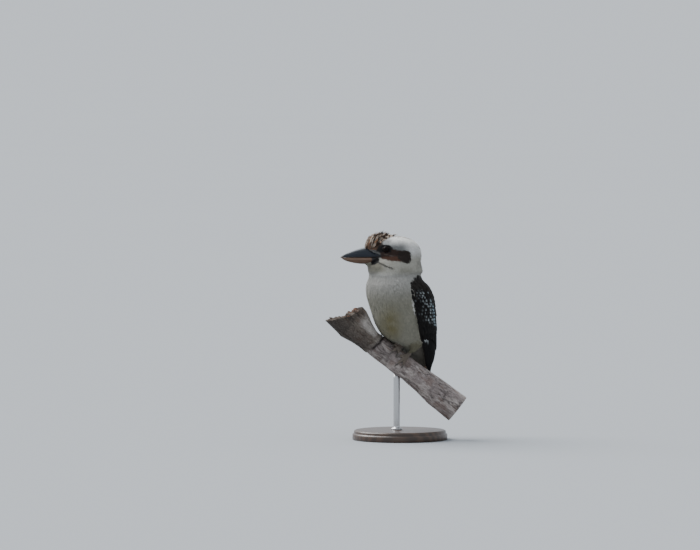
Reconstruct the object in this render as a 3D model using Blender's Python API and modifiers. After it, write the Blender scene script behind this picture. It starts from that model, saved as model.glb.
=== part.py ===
# Laughing kookaburra on a cut branch, held by a disc stand with one rod.
# Life size, in metres. +Z is up, +X is the way the branch slopes down,
# and the origin is the middle of the stand's underside.
from math import cos, pi, radians, sin, sqrt, tan

import bmesh
import bpy
import numpy as np
from mathutils import Vector

MM = 0.001
GAP = 0.3 * MM
SHARP_ANGLE = radians(40)

# Where the bird faces, seen from above, measured from -X towards -Y.
TRUNK_YAW = radians(42)
HEAD_YAW = radians(8)
TRUNK_ORIGIN = Vector((3.7, 2.0, 0.0)) * MM
HEAD_ORIGIN = Vector((-14.0, -15.0, 0.0)) * MM

# Neck and trunk, from the top down: height, yaw in degrees, centre x and y,
# half depth from breast to back, half width.
SPINE = (
    (350.0, 10.0, -8.0, -15.0, 31.0, 26.0),
    (338.0, 12.0, -6.4, -14.5, 41.0, 33.0),
    (325.0, 18.0, -11.3, -13.0, 49.0, 38.5),
    (314.5, 26.0, -10.3, -11.5, 50.3, 42.0),
    (305.0, 34.0, -10.2, -10.2, 48.0, 44.5),
    (296.0, 38.0, -9.8, -10.3, 50.0, 48.5),
    (286.0, 41.0, -8.2, -8.7, 55.2, 52.5),
    (268.0, 42.0, -3.2, -4.3, 59.4, 57.0),
    (240.5, 42.0, 3.0, 1.4, 58.0, 55.0),
    (212.8, 42.0, 7.5, 5.4, 53.0, 50.5),
    (190.0, 42.0, 13.8, 11.1, 44.2, 42.0),
    (172.0, 42.0, 25.0, 21.2, 31.0, 31.0),
    (152.0, 42.0, 36.0, 31.1, 17.5, 21.0),
    (134.0, 42.0, 43.0, 37.4, 8.5, 14.5),
)
NECK_FOOT = 300.0
FRONT_POWER = 2.1
BACK_POWER = 2.4

# Head, from the bill to the back: distance forward of the head's origin,
# height of the middle, half height, half width.
HEAD = (
    (52.5, 341.0, 14.5, 12.6),
    (48.5, 341.0, 17.5, 14.6),
    (41.0, 341.5, 22.0, 17.8),
    (26.0, 343.2, 29.6, 24.4),
    (11.0, 344.2, 32.8, 28.2),
    (-6.0, 344.9, 33.2, 30.8),
    (-22.0, 345.0, 31.2, 31.0),
    (-34.0, 344.5, 27.4, 28.8),
    (-42.5, 343.4, 22.4, 24.6),
    (-48.5, 342.6, 15.0, 18.0),
    (-51.5, 342.6, 7.0, 9.0),
)
HEAD_POWER = 2.25

# Crest, from the bill to the crown: distance forward, top height, half width.
CREST = (
    (51.5, 361.0, 6.0),
    (47.0, 375.0, 11.0),
    (38.0, 383.5, 14.5),
    (27.0, 389.0, 15.5),
    (16.0, 391.5, 13.5),
    (6.0, 386.5, 9.0),
    (0.0, 381.5, 4.0),
)
CREST_FOOT = 352.0
CREST_POWER = 1.8

# Bill: distance forward, culmen height, underside height, half width.
BILL = (
    (97.0, 340.4, 337.4, 1.2),
    (94.0, 342.3, 334.8, 2.7),
    (88.0, 345.4, 331.9, 4.7),
    (78.0, 349.5, 329.2, 7.0),
    (68.0, 353.0, 327.4, 9.0),
    (58.0, 355.8, 326.4, 11.0),
    (48.0, 357.2, 326.6, 13.2),
    (38.0, 357.0, 328.0, 15.8),
)
MOUTH_HEIGHT = 338.7
UPPER_POWER = 1.75
LOWER_POWER = 2.1
LOWER_TIP_SHORT = 2.2
LOWER_WIDTH = 0.93

EYE_RADIUS = 6.8 * MM
EYE_FORWARD = 15.8
EYE_HEIGHT = 354.0
EYE_DEPTH = 3.2

# Wing, from the shoulder to the tip: height, then forward and left of the
# trunk's origin for the front edge, the outer corner and the back edge,
# then the depth of the section.
WING = (
    (301.0, 14.0, 42.5, 2.6, 45.2, -12.3, 38.5, 8.0),
    (294.0, 24.0, 48.5, -2.5, 49.8, -17.5, 36.8, 12.0),
    (285.0, 27.0, 52.0, -10.5, 53.4, -31.5, 32.8, 14.0),
    (265.0, 23.5, 57.0, -25.8, 52.6, -50.0, 21.5, 15.0),
    (240.0, 16.0, 58.0, -36.8, 48.2, -58.5, 11.0, 14.0),
    (212.0, 6.0, 54.5, -43.4, 45.2, -61.5, 7.0, 13.0),
    (185.0, -8.0, 46.5, -48.6, 40.6, -62.3, 7.0, 10.0),
    (160.0, -26.0, 35.5, -54.0, 32.5, -62.5, 14.0, 6.5),
    (137.0, -40.0, 27.0, -52.0, 27.0, -58.5, 20.5, 4.5),
    (121.0, -48.0, 23.5, -52.5, 24.2, -57.0, 20.5, 3.0),
    (113.5, -52.5, 21.8, -54.0, 22.2, -55.5, 21.0, 2.0),
)

WING_EDGE_THICK = 0.8

# Tail, from the root to the tip: height, distance forward of the trunk's
# origin, half width, half thickness.
TAIL = (
    (192.0, -44.0, 12.5, 4.5),
    (170.0, -49.5, 15.0, 4.6),
    (140.0, -57.0, 16.2, 3.8),
    (110.0, -65.0, 18.0, 3.0),
    (80.0, -73.0, 19.6, 2.3),
    (64.0, -77.3, 19.2, 1.8),
    (56.5, -79.3, 15.5, 1.4),
    (53.5, -80.1, 9.0, 1.0),
)
TAIL_POWER = 2.6
TAIL_ARCH = 2.0

# Branch. Its axis lies in the plane y = 0 and slopes down to +X.
PERCH_AXIS = Vector((0.0, 0.0, 141.1)) * MM
PERCH_SLOPE = radians(38)
# Distance along the axis, upper edge and lower edge measured from the axis.
PERCH = (
    (-157.0, 40.5, 23.3),
    (-131.0, 40.5, 25.8),
    (-118.0, 40.5, 28.2),
    (-108.0, 38.5, 26.8),
    (-97.0, 33.6, 24.6),
    (-89.0, 29.0, 23.7),
    (-81.0, 25.2, 23.2),
    (-72.0, 21.8, 23.0),
    (-63.0, 20.0, 23.0),
    (-56.0, 21.8, 23.1),
    (-46.0, 21.2, 23.1),
    (-20.0, 21.2, 22.4),
    (20.0, 21.4, 21.6),
    (56.0, 23.6, 23.2),
    (90.0, 25.4, 27.4),
    (136.0, 26.4, 28.6),
)
PERCH_WAIST = 21.0
WAIST_CHANGE = 0.35
PERCH_STEPS = 19
PERCH_START = -113.0
# The broken face: how far along its upper and lower rims lie, how ragged it
# is, and its rings as shares of the radius and of the way to the face.
PERCH_BREAK = (-119.0, -157.0)
BREAK_RAGGED = 2.4
BREAK_RINGS = ((0.34, 0.96), (0.7, 0.97), (0.97, 1.0), (1.0, 0.5))

# Feet: place along the branch, place round it, and lean of the shank.
ANKLE_LEFT = (2.0, 25.0)
ANKLE_RIGHT = (-19.0, -4.0)
ANKLE_RISE = 5.2
ANKLE_RADIUS = 4.9
SHANK_LEFT = Vector((24.0, -9.5, 171.0)) * MM
SHANK_RIGHT = Vector((11.0, 16.5, 182.0)) * MM
SHANK_RADIUS = 3.3
# Feathered thighs, from the belly down: x, y, height and radius.
THIGH_LEFT = (
    (37.0, -10.0, 192.0, 10.0),
    (32.5, -13.0, 181.0, 10.5),
    (25.5, -12.8, 170.5, 7.8),
    (20.5, -11.6, 164.0, 4.8),
)
THIGH_RIGHT = (
    (-14.0, 32.0, 195.0, 9.0),
    (-12.5, 23.5, 185.5, 9.5),
    (-7.5, 11.5, 178.0, 7.4),
    (-3.0, 4.5, 174.5, 4.8),
)
# Toes: splay in degrees, length, root radius, end radius.
TOES = {
    "inner": (-36.0, 19.0, 3.1, 2.4),
    "middle": (-12.0, 28.0, 3.3, 2.5),
    "outer": (7.0, 25.0, 3.1, 2.4),
    "hind": (172.0, 18.0, 3.3, 2.5),
}
TOE_STEPS = 6
TOE_LIFT = 0.15
KNUCKLE = 0.22
CLAW_LENGTHS = {"inner": 8.5, "middle": 10.0, "outer": 8.5, "hind": 9.5}
CLAW_STEPS = 5
CLAW_GAP = 0.9
CLAW_ROOT = 1.9
CLAW_TIP = 0.25
CLAW_ARCH = 1.4
THIGH_GAP = 2.0 * MM

BASE_RADIUS = 88.0
BASE_HEIGHT = 18.0
BASE_EDGE = 3.0
ROD_RADIUS = 6.0
ROD_PLACE = (-6.0, 0.0)

COLOURS = {
    "white_feather": (0.62, 0.60, 0.55, 0.75, 0.0),
    "brown_feather": (0.10, 0.07, 0.055, 0.75, 0.0),
    "rufous_feather": (0.33, 0.19, 0.11, 0.75, 0.0),
    "slate_horn": (0.06, 0.07, 0.09, 0.35, 0.0),
    "pale_horn": (0.45, 0.30, 0.22, 0.4, 0.0),
    "eye_gloss": (0.02, 0.012, 0.01, 0.08, 0.0),
    "foot_skin": (0.25, 0.22, 0.16, 0.6, 0.0),
    "bark": (0.24, 0.20, 0.18, 0.9, 0.0),
    "base_wood": (0.08, 0.05, 0.035, 0.45, 0.0),
    "rod_steel": (0.55, 0.55, 0.56, 0.3, 1.0),
}


def clear_scene():
    for old in list(bpy.data.objects):
        bpy.data.objects.remove(old, do_unlink=True)


def new_collection(name):
    made = bpy.data.collections.new(name)
    bpy.context.scene.collection.children.link(made)
    return made


def finish_of(name):
    if name in bpy.data.materials:
        return bpy.data.materials[name]
    made = bpy.data.materials.new(name)
    made.use_nodes = True
    shader = made.node_tree.nodes["Principled BSDF"]
    red, green, blue, rough, metal = COLOURS[name]
    shader.inputs["Base Color"].default_value = (red, green, blue, 1.0)
    shader.inputs["Roughness"].default_value = rough
    shader.inputs["Metallic"].default_value = metal
    return made


def turn_outward(mesh):
    work = bmesh.new()
    work.from_mesh(mesh)
    bmesh.ops.recalc_face_normals(work, faces=work.faces)
    work.to_mesh(mesh)
    work.free()


def add_object(name, mesh, colour):
    # The object takes a finish of its own, and its faces point out.
    turn_outward(mesh)
    made = bpy.data.objects.new(name, mesh)
    PARTS.objects.link(made)
    mesh.materials.append(finish_of(colour))
    mesh.shade_smooth()
    mesh.set_sharp_from_angle(angle=SHARP_ANGLE)
    return made


def add_cutter(name, mesh):
    cutter = bpy.data.objects.new(name, mesh)
    CUTTERS.objects.link(cutter)
    cutter.hide_render = True
    cutter.display_type = "WIRE"
    return cutter


def change_shape(target, kind, cutter):
    change = target.modifiers.new(kind.lower() + " " + cutter.name, "BOOLEAN")
    change.operation = kind
    change.solver = "EXACT"
    change.object = cutter


def smooth_rows(rows, count):
    # A smooth curve through the rows, read at even steps of their number.
    table = np.array(rows, dtype=float)
    slopes = np.gradient(table, axis=0)
    result = []
    for place in np.linspace(0, len(table) - 1, count):
        low = min(int(place), len(table) - 2)
        part = place - low
        square, cube = part**2, part**3
        row = (2 * cube - 3 * square + 1) * table[low] + (cube - 2 * square + part) * slopes[low]
        row += (3 * square - 2 * cube) * table[low + 1] + (cube - square) * slopes[low + 1]
        result.append(row)
    return result


def loft_mesh(name, rings):
    # Rings of equal length are joined by faces, and the end rings are closed.
    points = [point for ring in rings for point in ring]
    count = len(rings[0])
    faces = []
    for step in range(len(rings) - 1):
        start = step * count
        for turn in range(count):
            after = (turn + 1) % count
            faces.append((start + turn, start + after, start + count + after, start + count + turn))
    faces.append(tuple(range(count - 1, -1, -1)))
    faces.append(tuple(range(len(points) - count, len(points))))
    mesh = bpy.data.meshes.new(name)
    mesh.from_pydata([tuple(point) for point in points], [], faces)
    return mesh


def rounded(angle, power):
    # A point of the unit superellipse at this angle.
    side, rise = cos(angle), sin(angle)
    reach = (abs(side) ** power + abs(rise) ** power) ** (-1 / power)
    return side * reach, rise * reach


def facing(yaw):
    # Forward and left, level, for this yaw.
    return Vector((-cos(yaw), -sin(yaw), 0)), Vector((sin(yaw), -cos(yaw), 0))


def placed(origin, yaw, forward, left, height):
    ahead, aside = facing(yaw)
    return origin + (ahead * forward + aside * left + Vector((0, 0, height))) * MM


def bird_point(forward, left, height):
    return placed(TRUNK_ORIGIN, TRUNK_YAW, forward, left, height)


def head_point(forward, left, height):
    return placed(HEAD_ORIGIN, HEAD_YAW, forward, left, height)


def grown_copy(source, name, margin):
    # A cutter: the source's finished shape with its surface moved out by the margin.
    bpy.context.view_layer.update()
    graph = bpy.context.evaluated_depsgraph_get()
    mesh = bpy.data.meshes.new_from_object(source.evaluated_get(graph))
    work = bmesh.new()
    work.from_mesh(mesh)
    bmesh.ops.remove_doubles(work, verts=work.verts, dist=0.00001)
    bmesh.ops.recalc_face_normals(work, faces=work.faces)
    work.normal_update()
    moves = [vertex.normal * (margin * min(vertex.calc_shell_factor(), 1.6)) for vertex in work.verts]
    for vertex, move in zip(work.verts, moves):
        vertex.co += move
    work.to_mesh(mesh)
    work.free()
    return add_cutter(name, mesh)


def cut_away(target, *cutters):
    for cutter in cutters:
        change_shape(target, "DIFFERENCE", cutter)


def spine_ring(row, count=22):
    height, yaw, across, along, deep, wide = row
    ahead, aside = facing(radians(yaw))
    centre = Vector((across, along, height)) * MM
    ring = []
    for step in range(count):
        angle = 2 * pi * step / count
        front, side = rounded(angle, FRONT_POWER if cos(angle) > 0 else BACK_POWER)
        ring.append(centre + ahead * (front * deep * MM) + aside * (side * wide * MM))
    return ring


def spine_rows():
    return smooth_rows(SPINE, 2 * len(SPINE) - 1)


def row_at(height):
    # The spine's row at one height, between its neighbours.
    rows = spine_rows()
    for above, below in zip(rows, rows[1:]):
        if below[0] <= height <= above[0]:
            part = (above[0] - height) / (above[0] - below[0])
            return above + (below - above) * part
    raise ValueError("height is off the spine")


def make_neck():
    rows = [row for row in spine_rows() if row[0] > NECK_FOOT + 1]
    rows.append(row_at(NECK_FOOT + GAP / MM / 2))
    mesh = loft_mesh("neck", [spine_ring(row) for row in rows])
    return add_object("neck", mesh, "white_feather")


def make_trunk():
    rows = [row_at(NECK_FOOT - GAP / MM / 2)]
    rows += [row for row in spine_rows() if row[0] < NECK_FOOT - 1]
    mesh = loft_mesh("trunk", [spine_ring(row) for row in rows])
    return add_object("trunk", mesh, "white_feather")


def make_head(count=20):
    rings = []
    for forward, middle, tall, wide in smooth_rows(HEAD, 2 * len(HEAD) - 1):
        ring = []
        for step in range(count):
            side, rise = rounded(2 * pi * step / count, HEAD_POWER)
            ring.append(head_point(forward, side * wide, middle + rise * tall))
        rings.append(ring)
    return add_object("head", loft_mesh("head", rings), "white_feather")


def make_crest(count=10):
    rings = []
    for forward, top, wide in smooth_rows(CREST, 2 * len(CREST) - 1):
        ring = []
        for step in range(count):
            side, rise = rounded(2 * pi * step / count, CREST_POWER)
            height = (top + CREST_FOOT) / 2 + rise * (top - CREST_FOOT) / 2
            ring.append(head_point(forward, side * wide, height))
        rings.append(ring)
    return add_object("crest", loft_mesh("crest", rings), "rufous_feather")


def make_bill_half(name, upper, colour, count=8):
    # Each section is flat at the mouth and rounded over the ridge or keel.
    rings = []
    for forward, ridge, keel, wide in smooth_rows(BILL, 2 * len(BILL) - 1):
        ring = []
        mouth = MOUTH_HEIGHT + (GAP / MM / 2 if upper else -GAP / MM / 2)
        reach = (ridge if upper else keel) - mouth
        if not upper:
            forward -= LOWER_TIP_SHORT * max(0, forward - BILL[-1][0]) / (BILL[0][0] - BILL[-1][0])
            wide *= LOWER_WIDTH
        for step in range(count + 1):
            side, rise = rounded(pi * step / count, UPPER_POWER if upper else LOWER_POWER)
            ring.append(head_point(forward, side * wide, mouth + rise * reach))
        rings.append(ring)
    return add_object(name, loft_mesh(name, rings), colour)


def head_half_width(forward, height):
    # Half the head's width at one place, from the nearest smoothed section.
    rows = smooth_rows(HEAD, 101)
    row = min(rows, key=lambda item: abs(item[0] - forward))
    rise = abs(height - row[1]) / row[2]
    return row[3] * (1 - rise**HEAD_POWER) ** (1 / HEAD_POWER)


def make_eye(name, side):
    reach = head_half_width(EYE_FORWARD, EYE_HEIGHT) - EYE_DEPTH
    mesh = bpy.data.meshes.new(name)
    work = bmesh.new()
    bmesh.ops.create_uvsphere(work, u_segments=12, v_segments=8, radius=EYE_RADIUS)
    bmesh.ops.translate(work, verts=work.verts, vec=head_point(EYE_FORWARD, side * reach, EYE_HEIGHT))
    work.to_mesh(mesh)
    work.free()
    return add_object(name, mesh, "eye_gloss")


def wing_ring(row, side, count=7):
    # The outer face runs from the front edge over the corner to the back edge,
    # and the inner face lies in from it, deepest in the middle.
    height, f_ahead, f_left, c_ahead, c_left, b_ahead, b_left, depth = row
    front = np.array((f_ahead, f_left))
    corner = np.array((c_ahead, c_left))
    back = np.array((b_ahead, b_left))
    pull = 2 * corner - (front + back) / 2
    outer, inner = [], []
    for part in np.linspace(0, 1, count + 1):
        place = (1 - part) ** 2 * front + 2 * part * (1 - part) * pull + part**2 * back
        run = 2 * (1 - part) * (pull - front) + 2 * part * (back - pull)
        inward = np.array((-run[1], run[0])) / np.hypot(*run)
        thick = WING_EDGE_THICK + (depth - WING_EDGE_THICK) * sin(pi * part) ** 0.8
        outer.append(place)
        inner.append(place + inward * thick)
    ring = outer + inner[::-1]
    return [bird_point(point[0], side * point[1], height) for point in ring]


def make_wing(name, side):
    rings = [wing_ring(row, side) for row in smooth_rows(WING, 2 * len(WING) - 1)]
    return add_object(name, loft_mesh(name, rings), "brown_feather")


def make_tail(count=14):
    rings = []
    for height, ahead, wide, thick in smooth_rows(TAIL, 2 * len(TAIL) - 1):
        ring = []
        for step in range(count):
            side, rise = rounded(2 * pi * step / count, TAIL_POWER)
            arch = TAIL_ARCH * side * side * wide / TAIL[0][2]
            ring.append(bird_point(ahead + rise * thick + arch, side * wide, height))
        rings.append(ring)
    return add_object("tail", loft_mesh("tail", rings), "rufous_feather")


def perch_frame():
    # Along the branch, up across it, and out towards -Y.
    along = Vector((cos(PERCH_SLOPE), 0, -sin(PERCH_SLOPE)))
    across = Vector((sin(PERCH_SLOPE), 0, cos(PERCH_SLOPE)))
    return along, across, Vector((0, -1, 0))


def perch_radius(place, angle):
    # The branch's radius at one place along it, at an angle from its upper edge.
    table = np.array(PERCH)
    upper = np.interp(place, table[:, 0], table[:, 1])
    lower = np.interp(place, table[:, 0], table[:, 2])
    end = lower if cos(angle) < 0 else upper
    waist = PERCH_WAIST + WAIST_CHANGE * ((upper + lower) / 2 - PERCH_WAIST)
    return 1 / sqrt((cos(angle) / end) ** 2 + (sin(angle) / waist) ** 2)


def perch_point(place, angle, radius):
    along, across, out = perch_frame()
    turned = across * cos(angle) + out * sin(angle)
    return PERCH_AXIS + along * place * MM + turned * radius * MM


def make_perch(count=20):
    # The broken end runs back further on the lower side, with a ragged edge.
    start, end = PERCH_START, PERCH[-1][0]
    middle, half = (PERCH_BREAK[0] + PERCH_BREAK[1]) / 2, (PERCH_BREAK[0] - PERCH_BREAK[1]) / 2
    turns = [2 * pi * step / count for step in range(count)]
    rings = []
    for size, share in BREAK_RINGS:
        ring = []
        for angle in turns:
            face = middle + half * cos(angle) * size + BREAK_RAGGED * sin(5 * angle) * size
            place = start + (face - start) * share
            ring.append(perch_point(place, angle, perch_radius(place, angle) * size))
        rings.append(ring)
    for place in np.linspace(start, end, PERCH_STEPS + 1):
        rings.append([perch_point(place, angle, perch_radius(place, angle)) for angle in turns])
    return add_object("perch", loft_mesh("perch", rings), "bark")


def tube_mesh(name, centres, radii, count=8):
    # A round tube through the centres, closed at both ends.
    rings = []
    side = None
    for step, (centre, radius) in enumerate(zip(centres, radii)):
        before = centres[max(step - 1, 0)]
        after = centres[min(step + 1, len(centres) - 1)]
        run = (after - before).normalized()
        if side is None:
            side = run.orthogonal().normalized()
        side = (side - run * side.dot(run)).normalized()
        other = run.cross(side)
        ring = []
        for turn in range(count):
            angle = 2 * pi * turn / count
            ring.append(centre + (side * cos(angle) + other * sin(angle)) * radius * MM)
        rings.append(ring)
    return loft_mesh(name, rings)


def join_piece(target, name, mesh):
    turn_outward(mesh)
    change_shape(target, "UNION", add_cutter(name, mesh))


def toe_point(ankle, splay, distance, rise):
    # A point that lies a distance out from the ankle, risen from the bark.
    place, turn = ankle
    angle = radians(turn) + distance * cos(radians(splay)) / (PERCH_WAIST + 3)
    place += distance * sin(radians(splay))
    return perch_point(place, angle, perch_radius(place, angle) + GAP / MM + TOE_LIFT + rise)


def make_foot(name, ankle, top):
    # Four toes and the shank are joined into one body.
    place, turn = ankle
    angle = radians(turn)
    low = perch_point(place, angle, perch_radius(place, angle) + ANKLE_RISE)
    centres = [low.lerp(top, step / 4) for step in range(5)]
    radii = [SHANK_RADIUS + 0.5 * (1 - step / 4) for step in range(5)]
    foot = add_object(name, tube_mesh(name, centres, radii), "foot_skin")
    ball = bpy.data.meshes.new(name + "_ankle")
    work = bmesh.new()
    bmesh.ops.create_uvsphere(work, u_segments=12, v_segments=8, radius=ANKLE_RADIUS * MM)
    bmesh.ops.translate(work, verts=work.verts, vec=low)
    work.to_mesh(ball)
    work.free()
    join_piece(foot, name + "_ankle", ball)
    for toe, (splay, length, thick, thin) in TOES.items():
        centres, radii = [], []
        for step in range(TOE_STEPS + 1):
            part = step / TOE_STEPS
            radius = thick + (thin - thick) * part
            centres.append(toe_point(ankle, splay, length * part, radius))
            radii.append(radius + KNUCKLE * (sin(3 * pi * part) ** 2 - 1))
        join_piece(foot, name + "_" + toe, tube_mesh(name + "_" + toe, centres, radii))
    return foot


def make_claws(side_name, ankle):
    for toe, claw in CLAW_LENGTHS.items():
        splay, length, _, thin = TOES[toe]
        centres, radii = [], []
        for step in range(CLAW_STEPS + 1):
            part = step / CLAW_STEPS
            radius = CLAW_ROOT * (1 - part) ** 0.75 + CLAW_TIP
            rise = thin * (1 - part) ** 1.2 + radius * part + CLAW_ARCH * sin(pi * part)
            distance = length + CLAW_GAP + claw * part
            centres.append(toe_point(ankle, splay, distance, max(rise, radius)))
            radii.append(radius)
        name = "claw_" + side_name + "_" + toe
        add_object(name, tube_mesh(name, centres, radii, 6), "slate_horn")


def make_thigh(name, rows):
    rows = smooth_rows(rows, 2 * len(rows) - 1)
    points = [Vector(row[:3]) * MM for row in rows]
    mesh = tube_mesh(name, points, [row[3] for row in rows], 12)
    return add_object(name, mesh, "white_feather")


def disc_mesh(name, segments, radius, bottom, top, centre):
    mesh = bpy.data.meshes.new(name)
    work = bmesh.new()
    bmesh.ops.create_cone(
        work,
        cap_ends=True,
        segments=segments,
        radius1=radius,
        radius2=radius,
        depth=top - bottom,
    )
    bmesh.ops.translate(work, verts=work.verts, vec=(centre[0] * MM, centre[1] * MM, (top + bottom) / 2))
    work.to_mesh(mesh)
    work.free()
    return mesh


def make_base():
    # A turned disc with eased edges.
    mesh = disc_mesh("stand_base", 40, BASE_RADIUS * MM, 0, BASE_HEIGHT * MM, (0, 0))
    base = add_object("stand_base", mesh, "base_wood")
    ease = base.modifiers.new("eased edges", "BEVEL")
    ease.width = BASE_EDGE * MM
    ease.segments = 2


def make_rod():
    # The rod stands on the base and ends under the branch.
    axis = PERCH_AXIS.z - ROD_PLACE[0] * MM * tan(PERCH_SLOPE)
    mesh = disc_mesh("stand_rod", 24, ROD_RADIUS * MM, BASE_HEIGHT * MM + GAP, axis, ROD_PLACE)
    return add_object("stand_rod", mesh, "rod_steel")


clear_scene()
PARTS = new_collection("laughing kookaburra")
CUTTERS = new_collection("cutters")

perch = make_perch()
make_base()
rod = make_rod()
head = make_head()
crest = make_crest()
bill_upper = make_bill_half("bill_upper", True, "slate_horn")
bill_lower = make_bill_half("bill_lower", False, "pale_horn")
eyes = [make_eye("eye_left", 1), make_eye("eye_right", -1)]
neck = make_neck()
trunk = make_trunk()
tail = make_tail()
wings = [make_wing("wing_left", 1), make_wing("wing_right", -1)]
foot_left = make_foot("foot_left", ANKLE_LEFT, SHANK_LEFT)
foot_right = make_foot("foot_right", ANKLE_RIGHT, SHANK_RIGHT)
thigh_left = make_thigh("thigh_left", THIGH_LEFT)
thigh_right = make_thigh("thigh_right", THIGH_RIGHT)
make_claws("left", ANKLE_LEFT)
make_claws("right", ANKLE_RIGHT)

near_perch = grown_copy(perch, "near perch", GAP)
near_head = grown_copy(head, "near head", GAP)
near_upper = grown_copy(bill_upper, "near upper bill", GAP)
near_lower = grown_copy(bill_lower, "near lower bill", GAP)
cut_away(rod, near_perch)
cut_away(neck, near_head)
cut_away(crest, near_head, near_upper)
cut_away(head, near_upper, near_lower)
for eye in eyes:
    cut_away(head, grown_copy(eye, "near " + eye.name, GAP))
near_neck = grown_copy(neck, "near neck", GAP)
near_trunk = grown_copy(trunk, "near trunk", GAP)
near_tail = grown_copy(tail, "near tail", GAP)
cut_away(tail, near_trunk)
cut_away(foot_left, near_trunk, grown_copy(thigh_left, "near left thigh", GAP))
cut_away(foot_right, near_trunk, grown_copy(thigh_right, "near right thigh", GAP))
above_perch = grown_copy(perch, "above perch", THIGH_GAP)
cut_away(thigh_left, near_trunk, above_perch)
cut_away(thigh_right, near_trunk, above_perch)
cut_away(trunk, above_perch)
for wing in wings:
    cut_away(wing, near_trunk, near_tail, near_neck)
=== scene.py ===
# Laughing kookaburra on its branch and stand: skin, feathers, horn, bark and light.
# Lengths are in millimetres until a mesh is made. Forward, left and height are the
# bird's own directions, one set for the trunk and one for the turned head.
from math import cos, pi, radians, sin, tan

import bmesh
import bpy
import numpy as np
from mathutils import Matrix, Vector
from mathutils.kdtree import KDTree


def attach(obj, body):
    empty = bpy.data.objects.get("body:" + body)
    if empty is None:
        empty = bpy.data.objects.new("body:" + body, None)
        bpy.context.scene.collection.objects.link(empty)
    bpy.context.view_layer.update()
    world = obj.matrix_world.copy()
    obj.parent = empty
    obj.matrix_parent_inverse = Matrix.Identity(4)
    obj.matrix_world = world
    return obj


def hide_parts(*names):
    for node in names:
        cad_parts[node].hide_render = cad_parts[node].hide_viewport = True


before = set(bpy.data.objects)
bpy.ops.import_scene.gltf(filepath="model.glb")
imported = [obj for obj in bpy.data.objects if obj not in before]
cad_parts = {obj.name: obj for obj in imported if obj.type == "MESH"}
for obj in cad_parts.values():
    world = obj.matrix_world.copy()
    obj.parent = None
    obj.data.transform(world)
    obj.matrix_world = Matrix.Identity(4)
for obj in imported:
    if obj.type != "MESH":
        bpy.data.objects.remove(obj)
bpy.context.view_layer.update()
mm = 0.001
chance = np.random.default_rng(11)


# shader kit

class Wire:
    # a value running through a material; arithmetic on it adds Math nodes
    def __init__(self, paint, socket):
        self.paint, self.socket = paint, socket

    def math(self, operation, *others):
        return self.paint.node("ShaderNodeMath", {"operation": operation}, dict(enumerate((self, *others))))

    def __add__(self, other):
        return self.math("ADD", other)

    def __mul__(self, other):
        return self.math("MULTIPLY", other)

    def __sub__(self, other):
        return self.math("SUBTRACT", other)

    def __rsub__(self, other):
        return self.paint.node("ShaderNodeMath", {"operation": "SUBTRACT"}, {0: other, 1: self})

    __radd__, __rmul__ = __add__, __mul__

    def clipped(self):
        return self.paint.node("ShaderNodeClamp", {}, {0: self})

    def between(self, low, high):
        # 0 below the low value, 1 above the high one, eased in the middle
        sockets = {0: self, 1: low, 2: high, 3: 0.0, 4: 1.0}
        return self.paint.node("ShaderNodeMapRange", {"interpolation_type": "SMOOTHSTEP"}, sockets)


class Paint:
    # one material: its steady values, and the nodes that vary over the surface
    def __init__(self, name, steady):
        self.material = bpy.data.materials.new(name)
        self.material.use_nodes = True
        self.tree = self.material.node_tree
        self.shader = self.tree.nodes["Principled BSDF"]
        for socket, value in steady.items():
            self.shader.inputs[socket].default_value = value

    def node(self, kind, settings, sockets, output=0):
        made = self.tree.nodes.new(kind)
        for name, value in settings.items():
            setattr(made, name, value)
        for key, value in sockets.items():
            self.feed(made.inputs[key], value)
        return Wire(self, made.outputs[output])

    def feed(self, socket, value):
        if isinstance(value, Wire):
            self.tree.links.new(value.socket, socket)
        else:
            socket.default_value = (*value, 1.0) if socket.type == "RGBA" and len(value) == 3 else value

    def place(self):
        return self.node("ShaderNodeTexCoord", {}, {}, "Object")

    def stretched(self, scale, turn=(0.0, 0.0, 0.0)):
        # object space, scaled after it is turned
        turned = self.node("ShaderNodeMapping", {}, {"Vector": self.place(), "Rotation": turn})
        return self.node("ShaderNodeMapping", {}, {"Vector": turned, "Scale": scale})

    def noise(self, vector, scale, detail=3.0, rough=0.55):
        sockets = {"Vector": vector, "Scale": scale, "Detail": detail, "Roughness": rough}
        return self.node("ShaderNodeTexNoise", {}, sockets)

    def cells(self, scale):
        return self.node("ShaderNodeTexVoronoi", {"feature": "F1"}, {"Vector": self.place(), "Scale": scale})

    def mix(self, factor, first, second, how="MIX"):
        settings = {"data_type": "RGBA", "blend_type": how}
        return self.node("ShaderNodeMix", settings, {0: factor, 6: first, 7: second}, 2)

    def painted(self):
        return self.node("ShaderNodeAttribute", {"attribute_name": "marking"}, {}, "Color")

    def bump(self, height, strength, distance):
        return self.node("ShaderNodeBump", {}, {"Height": height, "Strength": strength, "Distance": distance})

    def finish(self, **ends):
        # what varies over the surface goes to the shader
        for name, value in ends.items():
            self.feed(self.shader.inputs[name.replace("_", " ")], value)
        return self.material


# numbers and shapes

def unit(vectors):
    return vectors / np.maximum(np.linalg.norm(vectors, axis=-1, keepdims=True), 1e-9)


def ease(low, high, value):
    part = np.clip((value - low) / (high - low), 0, 1)
    return part * part * (3 - 2 * part)


def blend(first, second, part):
    return first + (second - first) * part


def shadeOf(colour):
    # the colour itself, or the plumage's colour of this name
    return np.asarray(plumage[colour] if isinstance(colour, str) else colour, float)


def tint(first, second, part):
    # a blend of colours or directions, with one share for each point
    return blend(shadeOf(first), shadeOf(second), np.asarray(part, float)[..., None])


def layered(colour, *layers):
    # shades laid over a colour one after another, each with its share
    for shade, part in layers:
        colour = tint(colour, shade, part)
    return colour


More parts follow.
